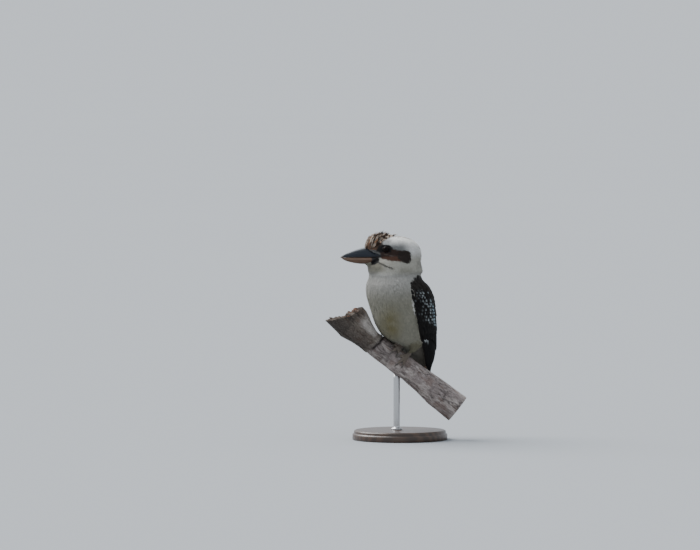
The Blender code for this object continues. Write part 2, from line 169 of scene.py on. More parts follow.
def cellChance(cells, seed):
    # a steady random number from 0 to 1 for each whole-number cell
    mixed = cells[..., 0] * 73856093 ^ cells[..., 1] * 19349663 ^ cells[..., 2] * 83492791 ^ seed * 2654435
    mixed = (mixed ^ (mixed >> 13)) * 1274126177 & 0x7FFFFFFF
    mixed = (mixed ^ (mixed >> 15)) * 668265263 & 0x7FFFFFFF
    return mixed / 0x7FFFFFFF


def ripple(points, size, seed=0):
    # smooth noise from -1 to 1 with lumps of about this size
    scaled = np.asarray(points, float) / size
    cell = np.floor(scaled).astype(np.int64)
    part = scaled - cell
    part = part * part * (3 - 2 * part)
    total = 0
    for corner in np.ndindex(2, 2, 2):
        share = np.prod(np.where(np.array(corner) == 1, part, 1 - part), axis=-1)
        total = total + share * cellChance(cell + np.array(corner), seed)
    return total * 2 - 1


def roughness(points, size, seed):
    return sum(ripple(points, size / 2**layer, seed + layer) / 2**layer for layer in range(3))


def softRows(rows, count):
    # a smooth curve through the rows, read at even steps
    table = np.array(rows, float)
    slopes = np.gradient(table, axis=0)
    at = np.linspace(0, len(table) - 1, count)
    low = np.minimum(at.astype(int), len(table) - 2)
    part = (at - low)[:, None]
    square, cube = part**2, part**3
    first = (2 * cube - 3 * square + 1) * table[low] + (cube - 2 * square + part) * slopes[low]
    return first + (3 * square - 2 * cube) * table[low + 1] + (cube - square) * slopes[low + 1]


def readRows(rows, place, column=1):
    # a value from a table that is ordered by its first column
    table = np.asarray(rows, float)
    return np.interp(place, table[:, 0], table[:, column])


def turnsOf(count):
    return np.arange(count) * 2 * pi / count


def roundRing(count, front, back):
    # a unit superellipse; the first half-turn's power may differ from the second's
    side, rise = np.cos(turnsOf(count)), np.sin(turnsOf(count))
    power = np.where(side > 0, front, back)
    reach = (np.abs(side) ** power + np.abs(rise) ** power) ** (-1 / power)
    return side * reach, rise * reach


def wheel(first, angle, radius):
    # points round the first axis
    return np.stack(np.broadcast_arrays(first, radius * np.cos(angle), radius * np.sin(angle)), axis=-1)


def upright(rise, angle, radius):
    # points round an upright axis
    return np.roll(wheel(rise, angle, radius), -1, axis=-1)


def ringFaces(rings, count, closed=True):
    # four-sided faces between neighbouring rings of one loft
    step = np.arange(rings - 1)[:, None] * count
    turn = np.arange(count if closed else count - 1)[None, :]
    after = (turn + 1) % count
    faces = np.stack((step + turn, step + after, step + count + after, step + count + turn), axis=-1)
    return faces.reshape(-1, 4).tolist()


def lofted(rings):
    # points and faces of a closed loft through the rings
    rings = np.asarray(rings, float)
    total, count = rings.shape[:2]
    faces = ringFaces(total, count)
    faces.append(list(range(count - 1, -1, -1)))
    faces.append(list(range((total - 1) * count, total * count)))
    return rings.reshape(-1, 3), faces


def joined(shapes):
    points, faces, start = [], [], 0
    for shapePoints, shapeFaces in shapes:
        points.append(shapePoints)
        faces += [[corner + start for corner in face] for face in shapeFaces]
        start += len(shapePoints)
    return np.concatenate(points), faces


def treeOf(points):
    tree = KDTree(len(points))
    for index, point in enumerate(points):
        tree.insert(point, index)
    tree.balance()
    return tree


def reshaped(mesh, change):
    # the mesh after a change made with Blender's mesh operators
    work = bmesh.new()
    work.from_mesh(mesh)
    change(work)
    work.to_mesh(mesh)
    work.free()


def placedPiece(name, mesh):
    mesh.shade_smooth()
    piece = bpy.data.objects.new(name, mesh)
    bpy.context.scene.collection.objects.link(piece)
    return piece


def pieceFrom(name, points, faces, outward=True):
    # an object from points in millimetres
    mesh = bpy.data.meshes.new(name)
    mesh.from_pydata((np.asarray(points) * mm).tolist(), [], faces)
    if outward:
        reshaped(mesh, lambda work: bmesh.ops.recalc_face_normals(work, faces=work.faces))
    return placedPiece(name, mesh)


def remeshed(piece, voxel, rounds):
    # overlapping shells become one, then the small steps are smoothed
    shape = piece.modifiers.new("one shell", "REMESH")
    shape.mode, shape.voxel_size = "VOXEL", voxel * mm
    even = piece.modifiers.new("even", "SMOOTH")
    even.factor, even.iterations = 0.5, rounds
    bpy.context.view_layer.update()
    graph = bpy.context.evaluated_depsgraph_get()
    mesh, old = bpy.data.meshes.new_from_object(piece.evaluated_get(graph)), piece.data
    piece.modifiers.clear()
    piece.data = mesh
    bpy.data.meshes.remove(old)
    mesh.shade_smooth()
    return piece


def pointsOf(mesh):
    points = np.empty(len(mesh.vertices) * 3)
    mesh.vertices.foreach_get("co", points)
    return points.reshape(-1, 3) / mm


def normalsOf(mesh):
    normals = np.empty(len(mesh.vertices) * 3, np.float32)
    mesh.vertex_normals.foreach_get("vector", normals)
    return normals.reshape(-1, 3).astype(float)


def setPoints(mesh, points):
    mesh.vertices.foreach_set("co", (np.asarray(points) * mm).ravel().astype(np.float32))
    mesh.update()


def paintPoints(mesh, colours):
    layer = mesh.color_attributes.new("marking", "FLOAT_COLOR", "POINT")
    four = np.ones((len(mesh.vertices), 4), np.float32)
    four[:, :3] = colours
    layer.data.foreach_set("color", four.ravel())


def given(piece, material, slot, nodes=()):
    piece.data.materials.clear()
    piece.data.materials.append(material)
    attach(piece, "root")
    if nodes:
        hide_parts(*nodes)
    return piece


# the bird's own directions

class Bearing:
    # forward, left and height from one origin, turned to one side
    def __init__(self, x, y, turn):
        self.origin, self.turn = np.array((x, y, 0.0)), radians(turn)
        self.ahead, self.aside = facing(self.turn)

    def point(self, forward, left, height):
        forward, left, height = np.broadcast_arrays(forward, left, height)
        upward = height[..., None] * np.array((0.0, 0.0, 1.0))
        return self.origin + forward[..., None] * self.ahead + left[..., None] * self.aside + upward

    def read(self, points):
        away = points - self.origin
        return away @ self.ahead, away @ self.aside, points[..., 2]


def facing(turn):
    return np.array((-cos(turn), -sin(turn), 0.0)), np.array((sin(turn), -cos(turn), 0.0))


trunk = Bearing(3.7, 2.0, 42)
head = Bearing(-14.0, -15.0, 8)


# branch, which the feet and feathers keep clear of

branch = {
    "axis": np.array((0.0, 0.0, 141.1)),
    "slope": radians(38),
    # place along it, height above the middle line, depth below it
    "rows": np.array((
        (-157, 40.5, 23.3), (-131, 40.5, 25.8), (-118, 40.5, 28.2), (-108, 38.5, 26.8), (-97, 33.6, 24.6),
        (-89, 29, 23.7), (-81, 25.2, 23.2), (-72, 21.8, 23), (-63, 20, 23), (-56, 21.8, 23.1),
        (-46, 21.2, 23.1), (-20, 21.2, 22.4), (20, 21.4, 21.6), (56, 23.6, 23.2), (90, 25.4, 27.4),
        (136, 26.4, 28.6),
    )),
    # half width of a section, and how far it follows the heights
    "waist": 21.0,
    "swell": 0.35,
    # where along it the coat is kept out
    "clear": (-115, 138),
    # the first whole section, and where the broken face meets the top and the underside
    "first": -113.0,
    "breakTop": -119.0,
    "breakFoot": -157.0,
}
alongBranch = np.array((cos(branch["slope"]), 0.0, -sin(branch["slope"])))
acrossBranch = np.array((sin(branch["slope"]), 0.0, cos(branch["slope"])))
outBranch = np.array((0.0, -1.0, 0.0))


def branchRadius(spot, angle):
    upper, lower = readRows(branch["rows"], spot, 1), readRows(branch["rows"], spot, 2)
    end = np.where(np.cos(angle) < 0, lower, upper)
    waist = branch["waist"] + branch["swell"] * (0.5 * (upper + lower) - branch["waist"])
    return 1 / np.sqrt((np.cos(angle) / end) ** 2 + (np.sin(angle) / waist) ** 2)


def branchPoint(spot, angle, radius):
    spot, angle, radius = np.broadcast_arrays(spot, angle, radius)
    turned = np.cos(angle)[..., None] * acrossBranch + np.sin(angle)[..., None] * outBranch
    return branch["axis"] + spot[..., None] * alongBranch + turned * radius[..., None]


def inBranch(points, margin):
    # place along the branch, turn round it, distance out, and the distance that clears it
    away = points - branch["axis"]
    spot, rise, out = away @ alongBranch, away @ acrossBranch, away @ outBranch
    angle = np.arctan2(out, rise)
    return spot, angle, np.hypot(rise, out), branchRadius(spot, angle) + margin


def clearOfBranch(points, margin):
    # points inside the branch are moved out to its surface
    spot, angle, radius, wanted = inBranch(points, margin)
    first, last = branch["clear"]
    moved = branchPoint(spot, angle, np.maximum(radius, wanted))
    return np.where(((radius < wanted) & (spot > first) & (spot < last))[..., None], moved, points)


# the whole outline of the bird, out to the tips of its coat

body = {
    # height, yaw, centre x and y, half depth, half width
    "spine": (
        (350, 10, -8, -15, 31, 26), (338, 12, -6.4, -14.5, 41, 33), (325, 18, -11.3, -13, 49, 38.5),
        (314.5, 26, -10.3, -11.5, 50.3, 42), (305, 34, -10.2, -10.2, 48, 44.5),
        (296, 38, -9.8, -10.3, 50, 48.5), (286, 41, -8.2, -8.7, 55.2, 52.5), (268, 42, -3.2, -4.3, 59.4, 57),
        (240.5, 42, 3, 1.4, 58, 55), (212.8, 42, 7.5, 5.4, 53, 50.5), (190, 42, 13.8, 11.1, 44.2, 42),
        (172, 42, 25, 21.2, 31, 31), (152, 42, 36, 31.1, 17.5, 21), (134, 42, 43, 37.4, 8.5, 14.5),
    ),
    # forward, middle height, half height, half width
    "head": (
        (52.5, 341, 14.5, 12.6), (48.5, 341, 17.5, 14.6), (41, 341.5, 22, 17.8), (26, 343.2, 29.6, 24.2),
        (11, 344.2, 32.8, 28.2), (-6, 344.9, 33.2, 30.8), (-22, 345, 31.2, 31), (-34, 344.5, 27.4, 28.8),
        (-42.5, 343.4, 22.4, 24.6), (-48.5, 342.6, 15, 18), (-51.5, 342.6, 7, 9),
    ),
    # forward, top, half width
    "crest": (
        (51.5, 361, 6), (47, 375, 11), (38, 383.5, 14.5), (27, 389, 15.5), (16, 391.5, 13.5),
        (6, 386.5, 9), (0, 381.5, 4),
    ),
    # x, y, height, radius
    "thighLeft": (
        (37, -10, 192, 10), (32.5, -13, 181, 10.5), (25.5, -12.8, 170.5, 7.8), (20.5, -11.6, 164, 4.8),
    ),
    "thighRight": (
        (-14, 32, 195, 9), (-12.5, 23.5, 185.5, 9.5), (-7.5, 11.5, 178, 7.4), (-3, 4.5, 174.5, 4.8),
    ),
    "spineRows": 90,
    "headRows": 70,
    "turns": 72,
    # how square the sections are: the trunk's front and back, then the head
    "trunkPowers": (2.1, 2.4),
    "headPower": 2.25,
    "voxel": 1.15,
}
feet = {
    # place along the branch, turn round it, top of the shank
    "left": (2.0, 25.0, (24.0, -9.5, 171.0)),
    "right": (-19.0, -4.0, (11.0, 16.5, 182.0)),
    "rise": 5.2,
    "ball": 4.7,
    "shank": 3.2,
    # splay, length, root radius, end radius, claw length
    "toes": {
        "inner": (-36.0, 19.0, 3.1, 2.4, 8.5),
        "middle": (-12.0, 28.0, 3.3, 2.5, 10.0),
        "outer": (7.0, 25.0, 3.1, 2.4, 8.5),
        "hind": (172.0, 18.0, 3.3, 2.5, 9.5),
    },
    "bed": 0.45,
    "clawGap": 0.5,
}


def spineRings():
    rings = []
    front, side = roundRing(body["turns"], *body["trunkPowers"])
    for height, yaw, x, y, deep, wide in softRows(body["spine"], body["spineRows"]):
        ahead, aside = facing(radians(yaw))
        rings.append(np.array((x, y, height)) + np.outer(front * deep, ahead) + np.outer(side * wide, aside))
    return rings


def headRings():
    side, rise = roundRing(body["turns"], body["headPower"], body["headPower"])
    return [
        head.point(forward + 0 * side, side * wide, middle + rise * tall)
        for forward, middle, tall, wide in softRows(body["head"], body["headRows"])
    ]


def tubeRings(centres, radii, count):
    # rings square to a line of centres
    centres = np.asarray(centres, float)
    runs = unit(np.gradient(centres, axis=0))
    side, angle, rings = unit(np.cross(runs[0], (0.3, 0.9, 0.2))), turnsOf(count), []
    for centre, run, radius in zip(centres, runs, radii):
        side = unit(side - run * (side @ run))
        turned = np.outer(np.cos(angle), side) + np.outer(np.sin(angle), np.cross(run, side))
        rings.append(centre + turned * radius)
    return rings


def ankle(side):
    # the low end of a shank, over the branch
    spot, turn, _ = feet[side]
    return branchPoint(spot, radians(turn), branchRadius(spot, radians(turn)) + feet["rise"])


def toePoint(side, splay, distance, rise):
    spot, turn, _ = feet[side]
    angle = radians(turn) + distance * cos(radians(splay)) / (branch["waist"] + 3)
    spot = spot + distance * sin(radians(splay))
    return branchPoint(spot, angle, branchRadius(spot, angle) + feet["bed"] + rise)


def toeLine(side, name, steps):
    # centres and radii along one toe, with its joints a little thicker
    splay, length, thick, thin, _ = feet["toes"][name]
    part = np.linspace(0, 1, steps)
    joints = 3 if name == "middle" else 2
    radius = thick + (thin - thick) * part + 0.3 * np.sin(pi * (joints * part - 0.1)) ** 4 - 0.12
    centres = [toePoint(side, splay, length * at, size + 0.1) for at, size in zip(part, radius)]
    return np.array(centres), radius


def footShapes(side):
    low, top = ankle(side), np.array(feet[side][2])
    part = np.linspace(0, 1, 12)[:, None]
    radii = feet["shank"] + 0.7 * (1 - part[:, 0]) ** 2
    shapes = [lofted(tubeRings(low + (top - low) * part, radii, 20))]
    turns = np.linspace(0, pi, 11)[1:-1]
    ball = [low + np.array((0, 0, 1)) * (feet["ball"] * cos(at)) for at in turns]
    shapes.append(lofted(tubeRings(ball, [feet["ball"] * sin(at) for at in turns], 18)))
    for name in feet["toes"]:
        centres, radius = toeLine(side, name, 20)
        tip = centres[-1] + unit(centres[-1] - centres[-2]) * radius[-1] * 0.7
        shapes.append(lofted(tubeRings(np.vstack((centres, tip)), [*radius, radius[-1] * 0.55], 16)))
    return shapes


def thighShape(name):
    rows = softRows(body[name], 24)
    return lofted(tubeRings(rows[:, :3], rows[:, 3], 24))


def toTubes(points, tubes):
    # distance from the surface of the nearest tube, negative inside
    best = np.full(len(points), 1e9)
    for centres, radii in tubes:
        for start, end, first, last in zip(centres[:-1], centres[1:], radii[:-1], radii[1:]):
            run = end - start
            part = np.clip((points - start) @ run / (run @ run), 0, 1)
            gap = np.linalg.norm(points - start - part[:, None] * run, axis=1)
            best = np.minimum(best, gap - (first + (last - first) * part))
    return best


def footDistance(points):
    tubes = []
    for side in ("left", "right"):
        tubes.append((np.array((ankle(side), feet[side][2])), (feet["ball"], feet["shank"])))
        tubes += [toeLine(side, name, 6) for name in feet["toes"]]
    return toTubes(points, tubes)


def thighDistance(points):
    tables = [np.array(body[name], float) for name in ("thighLeft", "thighRight")]
    return toTubes(points, [(table[:, :3], table[:, 3]) for table in tables])


billEdge = {
    # the feathers' edge on the side of the bill: forward, upper height, lower height
    "upper": ((22, 341.2), (28, 343.2), (33, 345.2), (38, 348), (43, 351), (47, 354.5), (52, 358), (60, 360)),
    "lower": ((22, 340.0), (29, 334), (35, 329.5), (40, 326.6), (44, 325.2), (54, 324.2), (60, 323)),
    # half the head's width there, so that it meets the bill
    "limit": ((20, 26), (26, 22.4), (31, 18.6), (37, 13.8), (42, 10.6), (46, 8.2), (52, 6.0), (60, 5.0)),
}


def carved(points):
    # the sides of the face drawn in to meet the bill
    forward, left, height = head.read(points)
    band = ease(-2.0, 1.5, readRows(billEdge["upper"], forward) - height)
    band *= ease(-2.0, 1.5, height - readRows(billEdge["lower"], forward)) * ease(22, 32, forward)
    excess = np.maximum(np.abs(left) - readRows(billEdge["limit"], forward), 0) * band
    return points - (np.sign(left) * excess)[:, None] * head.aside


shapes = [lofted(spineRings()), lofted(headRings()), thighShape("thighLeft"), thighShape("thighRight")]
shapes += footShapes("left") + footShapes("right")
outline = remeshed(pieceFrom("outline", *joined(shapes)), body["voxel"], 6)
guidePoints = clearOfBranch(carved(pointsOf(outline.data)), 0.5)
setPoints(outline.data, guidePoints)
guideNormals, guideTree = normalsOf(outline.data), treeOf(guidePoints)
print("outline", len(guidePoints), "points")


def snapped(points):
    # the nearest places on the outline, and which way it faces there
    found = np.array([guideTree.find(point)[1] for point in points])
    normals = guideNormals[found]
    away = np.sum((points - guidePoints[found]) * normals, axis=1)
    return points - normals * away[:, None], normals


# where the coat changes, and its colours

eye = {"forward": 15.8, "height": 354.0, "depth": 3.2, "radius": 6.8, "opening": 5.6}
headTable = softRows(body["head"], 201)
headTable = headTable[np.argsort(headTable[:, 0])]


def headSection(forward):
    # middle height, half height and half width of the head
    return (readRows(headTable, forward, part) for part in (1, 2, 3))


def headTop(forward, left):
    middle, tall, wide = headSection(forward)
    aside, power = np.clip(np.abs(left) / wide, 0, 0.98), body["headPower"]
    return middle + tall * (1 - aside**power) ** (1 / power)


def headHalfWidth(forward, height):
    middle, tall, wide = headSection(forward)
    rise, power = np.clip(np.abs(height - middle) / tall, 0, 0.999), body["headPower"]
    return wide * (1 - rise**power) ** (1 / power)


def toEye(forward, height):
    return np.hypot(forward - eye["forward"], height - eye["height"])


eyeLeft = float(headHalfWidth(eye["forward"], eye["height"])) - eye["depth"]
wingFront = {
    # height, forward of the wing's front edge, left of the back edge
    "rows": np.array((
        (113.5, -52.5, 21), (121, -48, 20.5), (137, -40, 20.5), (160, -26, 14), (185, -8, 7), (212, 6, 7),
        (240, 16, 11), (265, 23.5, 22), (285, 26.5, 33), (294, 23.5, 37), (301, 14, 38.5),
    )),
}


def wingEdges(height):
    # forward of the wing's front edge, and left of its back edge
    return readRows(wingFront["rows"], height, 1), readRows(wingFront["rows"], height, 2)


plumage = {
    # crown, cream, breast and belly are partly the plumage's own white, cream and buff and partly painted light
    # and shade: bright on top, darker lower down
    "crown": (0.90, 0.89, 0.86),
    "cream": (0.40, 0.385, 0.335),
    "breast": (0.37, 0.36, 0.335),
    # painted shade under the bill, under the head and on the throat
    "throatShade": (0.200, 0.190, 0.150),
    "belly": (0.235, 0.225, 0.18),
    "stain": (0.16, 0.14, 0.070),
    # painted shade low behind the legs
    "shadeBehindLegs": (0.105, 0.095, 0.080),
    # painted shade on the sides of the head
    "headSideShade": (0.172, 0.175, 0.172),
    "line": (0.085, 0.064, 0.054),
    "lores": (0.085, 0.085, 0.083),
    # painted shade in the creases of the coat
    "crease": (0.075, 0.07, 0.062),
    "ear": (0.026, 0.019, 0.016),
    "patch": (0.0085, 0.0075, 0.0075),
    "band": (0.036, 0.0215, 0.017),
    "rust": (0.078, 0.037, 0.024),
    "rufous": (0.34, 0.175, 0.095),
    "crest": (0.070, 0.040, 0.027),
    "mantle": (0.023, 0.020, 0.018),
    "black": (0.005, 0.0046, 0.0046),
    "blue": (0.245, 0.32, 0.36),
    "thigh": (0.115, 0.105, 0.065),
    "foot": (0.155, 0.13, 0.108),
    "slate": (0.024, 0.029, 0.036),
}
# the head's patches from the side: colour, soft edge, corners as forward and height
headPatches = {
    "slate": ("slate", 0.8, (
        (60, 359), (49, 356.4), (45, 352.6), (38, 349.2), (30, 346.0), (21, 343.0), (19, 340.8), (30, 337.4),
        (44, 337.2), (60, 338),
    )),
    "lores": ("lores", 1.0, (
        (44, 354), (36, 353.6), (27, 350.6), (20.5, 346.0), (21, 344.4), (30, 347.0), (38, 350.2),
        (44, 351.6),
    )),
    "eye": ("patch", 1.0, (
        (33, 351), (28.5, 360.0), (20.5, 363.2), (11, 362.8), (4.5, 358.8), (1.0, 352.5), (2, 346.8),
        (8, 345.0), (16, 345.2), (24, 347.2),
    )),
    "under": ("band", 1.0, ((26, 348), (10, 348), (-12, 348), (-12, 338), (4, 337), (24, 339))),
    "band": ("band", 1.2, (
        (6, 355.5), (-4, 353.2), (-13, 351.8), (-13, 341.5), (-3, 341.5), (1, 344.6), (6, 345.2),
    )),
    "rust": ("rust", 1.2, (
        (24, 341.6), (10, 341.0), (0, 341.0), (-8, 343), (-13, 343), (-14, 331.6), (0, 332.8), (12, 334.2),
        (24, 337.4),
    )),
    "line": ("line", 0.7, (
        (21, 345.8), (11, 344.3), (2, 342.9), (-4, 341.6), (-3, 340.7), (8, 341.9), (20, 344.1),
    )),
    "ear": ("ear", 1.2, (
        (-7.5, 351.0), (-20, 352.2), (-25.6, 351.4), (-29.0, 347.6), (-30.2, 340), (-29.8, 333.0),
        (-27.0, 328.4), (-20, 328.6), (-11.5, 332.6), (-4, 339.0),
    )),
    "gape": ("patch", 0.9, (
        (41.5, 338.8), (29, 338.8), (27.4, 334.5), (29.5, 329.6), (36, 326.2), (41.5, 324.6),
    )),
}


def enclosed(forward, height, corners, soft):
    # 1 inside a closed line through the corners, easing to 0 across its soft edge
    nearest, inside = np.full(forward.shape, 1e9), np.zeros(forward.shape, bool)
    for (fromF, fromH), end in zip(corners, corners[1:] + corners[:1]):
        runF, runH, awayF, awayH = end[0] - fromF, end[1] - fromH, forward - fromF, height - fromH
        part = np.clip((awayF * runF + awayH * runH) / (runF**2 + runH**2), 0, 1)
        nearest = np.minimum(nearest, np.hypot(awayF - part * runF, awayH - part * runH))
        crossed = fromF + awayH * runF / (runH if runH else 1e-9)
        inside ^= ((fromH > height) != (end[1] > height)) & (forward < crossed)
    return ease(-soft, soft, np.where(inside, nearest, -nearest))


def headMarkings(points):
    # the head's pattern, the same on both sides
    ahead, left, level = head.read(points)
    aside, side = np.abs(left), ease(3, 6, np.abs(left))
    forward = ahead + ripple(points, 3.0, 5) * 0.9
    height = level + ripple(points + 50, 3.0, 5) * 0.7
    # dim is painted shade: the sides of the head below the crown and under the crest are painted darker, as
    # where less light falls
    dim = ease(374, 357, height) * ease(9, 20, aside) * (0.35 + 0.65 * ease(-34, -10, ahead))
    dim = np.maximum(dim, 0.72 * ease(377, 369, height) * ease(8, 15, aside) * ease(0, 10, ahead))
    # thin brown streaks along the crown, and the brown forehead down to the eye
    crown = ease(14.5, 10.5, aside) * ease(30, 8, forward) * ease(364, 372, height) * ease(-44, -30, ahead)
    streaks = 0.5 + 0.5 * np.sin(left * 2.1 + ripple(points, 6, 21) * 2.4)
    # the crown is painted bright and the lower head cream, partly their own colours and partly painted light
    # and shade
    colour = layered(
        "crown", ("headSideShade", dim), ("cream", ease(352, 334, height)),
        # painted shade under the bill and under the back of the head
        ("throatShade", ease(14, 30, ahead) * ease(334, 327, height)),
        ("throatShade", 0.5 * ease(-2, -12, ahead) * ease(326, 314, height) * ease(-40, -28, ahead)),
        ("crest", crown * np.clip(streaks * 0.9 - 0.1, 0, 1)),
    )
    streaks = 0.5 + 0.5 * np.sin(left * 1.5 + forward * 0.5 + ripple(points, 5, 9) * 2.5)
    red = ease(26, 42, forward)
    brown = tint("crest", "rufous", streaks * 0.4 * red) * (0.45 + 0.55 * red)[..., None]
    colour = tint(colour, brown, ease(17.5, 23.5, forward) * ease(349.5, 352.5, height))
    for shade, soft, corners in headPatches.values():
        colour = tint(colour, shade, enclosed(forward, height, corners, soft) * side)
    # the dark line of the mouth, and painted shade along the crease under the cheek
    mouth = ease(1.5, 0.5, np.abs(level - 338.4 - 0.12 * (44 - ahead).clip(0))) * ease(14, 22, ahead)
    crease = level - (320.2 + 0.30 * (ahead - 8) + 0.006 * (ahead - 8) ** 2)
    cheekCreaseShade = ease(2.5 + 0.05 * (ahead - 10), 0.8, np.abs(crease)) * ease(1, 8, ahead) * ease(33, 28, ahead)
    return layered(colour, ("ear", mouth * side * 0.8), ("crease", cheekCreaseShade * side * 0.95))


def onBack(points):
    # the dark mantle and rump, between and under the wings
    forward, _, height = trunk.read(points)
    edge, _ = wingEdges(height)
    x, y = (readRows(body["spine"][::-1], height, column) for column in (2, 3))
    middle = -np.hypot(x - trunk.origin[0], y - trunk.origin[1])
    edge = np.where(height < 196, np.minimum(edge, middle), edge)
    return ease(edge - 1, edge - 5, forward + ripple(points, 4, 5) * 1.5) * ease(303.5, 300.5, height)


def trunkMarkings(points):
    forward, left, height = trunk.read(points)
    ahead = head.read(points)[0]
    # near is the share of painted shade on the throat, under the bill and under the head
    near = 0.10 + 0.75 * ease(26, 40, ahead) + 0.6 * ease(2, -14, ahead)
    # the yellowish stain low on the belly
    stain = ease(1.0, 0.15, np.hypot((points[..., 0] + 19) / 33, (height - 214) / 50)) * ease(0, 30, forward)
    # cream, breast and belly get darker lower down: partly the plumage's own buff, partly painted shade
    colour = layered(
        "cream", ("throatShade", near), ("breast", ease(320, 302, height)), ("belly", ease(300, 250, height)),
        ("stain", stain * (0.75 + 0.25 * ripple(points, 9, 3))),
    )
    # painted light: the throat under the chin is painted lighter
    paintedThroatLight = ease(0, 10, ahead) * ease(36, 27, ahead) * ease(301, 307, height) * ease(327, 319, height)
    # painted shade along the crease where the head's feathers lie over the breast, and faint wavy bars on the
    # flanks
    fold = np.interp(forward, (-10, 12, 34, 50), (302, 309, 304.6, 303.4))
    crease = ease(2.2, 0.4, np.abs(height - fold - ripple(points, 9, 12)))
    bars = np.sin(height * 0.95 + ripple(points, 14, 4) * 3.0)
    bars = np.clip(bars * ease(24, 44, np.abs(left)) * ease(300, 270, height), 0, 1)
    for share in (1 + 0.38 * paintedThroatLight, 1 - 0.10 * crease, 1 - 0.10 * bars):
        colour = colour * share[..., None]
    # the pale edge along the wing, painted shade low behind the legs, and the back with its barred rump
    sliver = ease(2.0, 1.0, np.abs(forward - wingEdges(height)[0] - 1.0))
    sliver = sliver * ease(268, 262, height) * ease(230, 240, height)
    bars = ease(-0.2, 0.5, np.cos(height * 2 * pi / 8.5 + np.abs(left) * 0.12 + ripple(points, 6, 8) * 0.8))
    dorsal = tint("mantle", tint("rufous", "mantle", bars * 0.9), ease(204, 186, height))
    return layered(
        colour, ("crown", sliver * 0.5), ("shadeBehindLegs", ease(196, 182, height) * ease(-6, -22, forward) * 0.85),
        (dorsal, onBack(points)),
    )


def markings(points):
    # the colours that skin and coat share
    flat = points.reshape(-1, 3)
    toThigh = thighDistance(flat)
    colour = tint(trunkMarkings(flat), headMarkings(flat), ease(308, 318, flat[:, 2]))
    foot = ease(2.2, 1.2, footDistance(flat)) * ease(3, 0.5, -toThigh + 2.5)
    return layered(
        colour, ("thigh", ease(3.0, 1.0, toThigh) * ease(188, 176, flat[:, 2]) * 0.8),
        ("foot", foot * ease(186, 178, flat[:, 2])),
    ).reshape(points.shape)


coatRows = {
    # height, depth of the coat, length of its feathers
    "trunk": (
        (134, 1.2, 11), (150, 1.6, 13), (175, 2.6, 16), (200, 3.6, 19), (240, 4.0, 20), (270, 3.8, 18),
        (300, 3.2, 14), (320, 2.4, 10),
    ),
    # depth and length on the head, on the face and on the thighs
    "head": (1.7, 8.0),
    "face": (0.7, 3.4),
    "leg": (2.0, 8.0),
}


def coatAt(points):
    # depth of the coat, length and half width of its feathers, and how far apart they stand
    forward, left, height = head.read(points)
    onHead = ease(312, 326, height)
    face = ease(10, 34, forward) * onHead
    face = np.maximum(face, ease(17, 8, toEye(forward, height)) * onHead * (np.abs(left) > 12))
    thigh = thighDistance(points)
    leg = ease(5, 1, thigh) * ease(196, 186, height)
    depth, length = (
        blend(blend(readRows(coatRows["trunk"], height, part + 1), coatRows["head"][part], onHead),
              coatRows["face"][part], face)
        for part in (0, 1)
    )
    length = blend(length, length * 0.8, ease(300, 312, height) * (1 - onHead))
    depth, length = blend(depth, coatRows["leg"][0], leg), blend(length, coatRows["leg"][1], leg)
    foot = ease(2.5, 1.0, footDistance(points)) * ease(1.5, 0.2, -thigh + 1.5)
    depth = depth * (1 - foot)
    return {"depth": depth, "length": length, "wide": length * 0.125, "gap": 0.5 + length * 0.095}


# skin

skin = {
    "voxel": 1.15,
    # how much of the skin's map one feather covers
    "patch": 0.003,
    "steady": {"Roughness": 0.6, "Specular IOR Level": 0.08},
    "lids": (0.0065, 0.006, 0.006),
    "nodes": (
        "head", "crest", "neck", "trunk", "wing_left", "wing_right", "tail",
        "thigh_left", "thigh_right", "foot_left", "foot_right",
    ),
}
wing = {
    # height, then forward and left for the front edge, the outer corner and the back edge, then depth
    "rows": (
        (301, 14, 42.5, 2.6, 45.2, -12.3, 38.5, 8), (294, 24, 48.5, -2.5, 49.8, -17.5, 36.8, 12),
        (285, 27, 52, -10.5, 53.4, -31.5, 32.8, 14), (265, 23.5, 57, -25.8, 52.6, -50, 21.5, 15),
        (240, 16, 58, -36.8, 48.2, -58.5, 11, 14), (212, 6, 54.5, -43.4, 45.2, -61.5, 7, 13),
        (185, -8, 46.5, -48.6, 40.6, -62.3, 7, 10), (160, -26, 35.5, -54, 32.5, -62.5, 14, 6.5),
        (137, -40, 27, -52, 27, -58.5, 20.5, 4.5), (121, -48, 23.5, -52.5, 24.2, -57, 20.5, 3),
        (113.5, -52.5, 21.8, -54, 22.2, -55.5, 21, 2),
    ),
    "padDepth": 3.6,
    "sink": 1.9,
    "padFoot": 150.0,
}
tail = {
    # height, forward, half width, half thickness
    "rows": (
        (192, -44, 12.5, 4.5), (170, -49.5, 15, 4.6), (140, -57, 16.2, 3.8), (110, -65, 18, 3),
        (80, -73, 19.6, 2.3), (64, -77.3, 19.2, 1.8), (56.5, -79.3, 15.5, 1.4), (53.5, -80.1, 9, 1),
    ),
}
wingTable = softRows(wing["rows"], 201)
tailTable = softRows(tail["rows"], 101)[::-1]


def wingRead(height, column):
    return np.interp(-height, -wingTable[:, 0], wingTable[:, column])


def wingPoint(side, across, height):
    # a place on the wing's outer face, 0 at its front edge and 1 at its back
    across, height = np.broadcast_arrays(np.asarray(across, float), np.asarray(height, float))
    level = np.clip(height, wingTable[-1, 0], wingTable[0, 0])
    rest, places = 1 - across, []
    for column in (1, 2):
        front, corner, back = (wingRead(level, column + step) for step in (0, 2, 4))
        pull = 2 * corner - (front + back) / 2
        places.append(rest**2 * front + 2 * across * rest * pull + across**2 * back)
    return trunk.point(places[0], side * places[1], height)


def wingNormal(side, across, height):
    step = 0.01
    run = wingPoint(side, np.add(across, step), height) - wingPoint(side, np.subtract(across, step), height)
    fall = wingPoint(side, across, np.subtract(height, 1.0)) - wingPoint(side, across, np.add(height, 1.0))
    return unit(np.cross(run, fall)) * -side


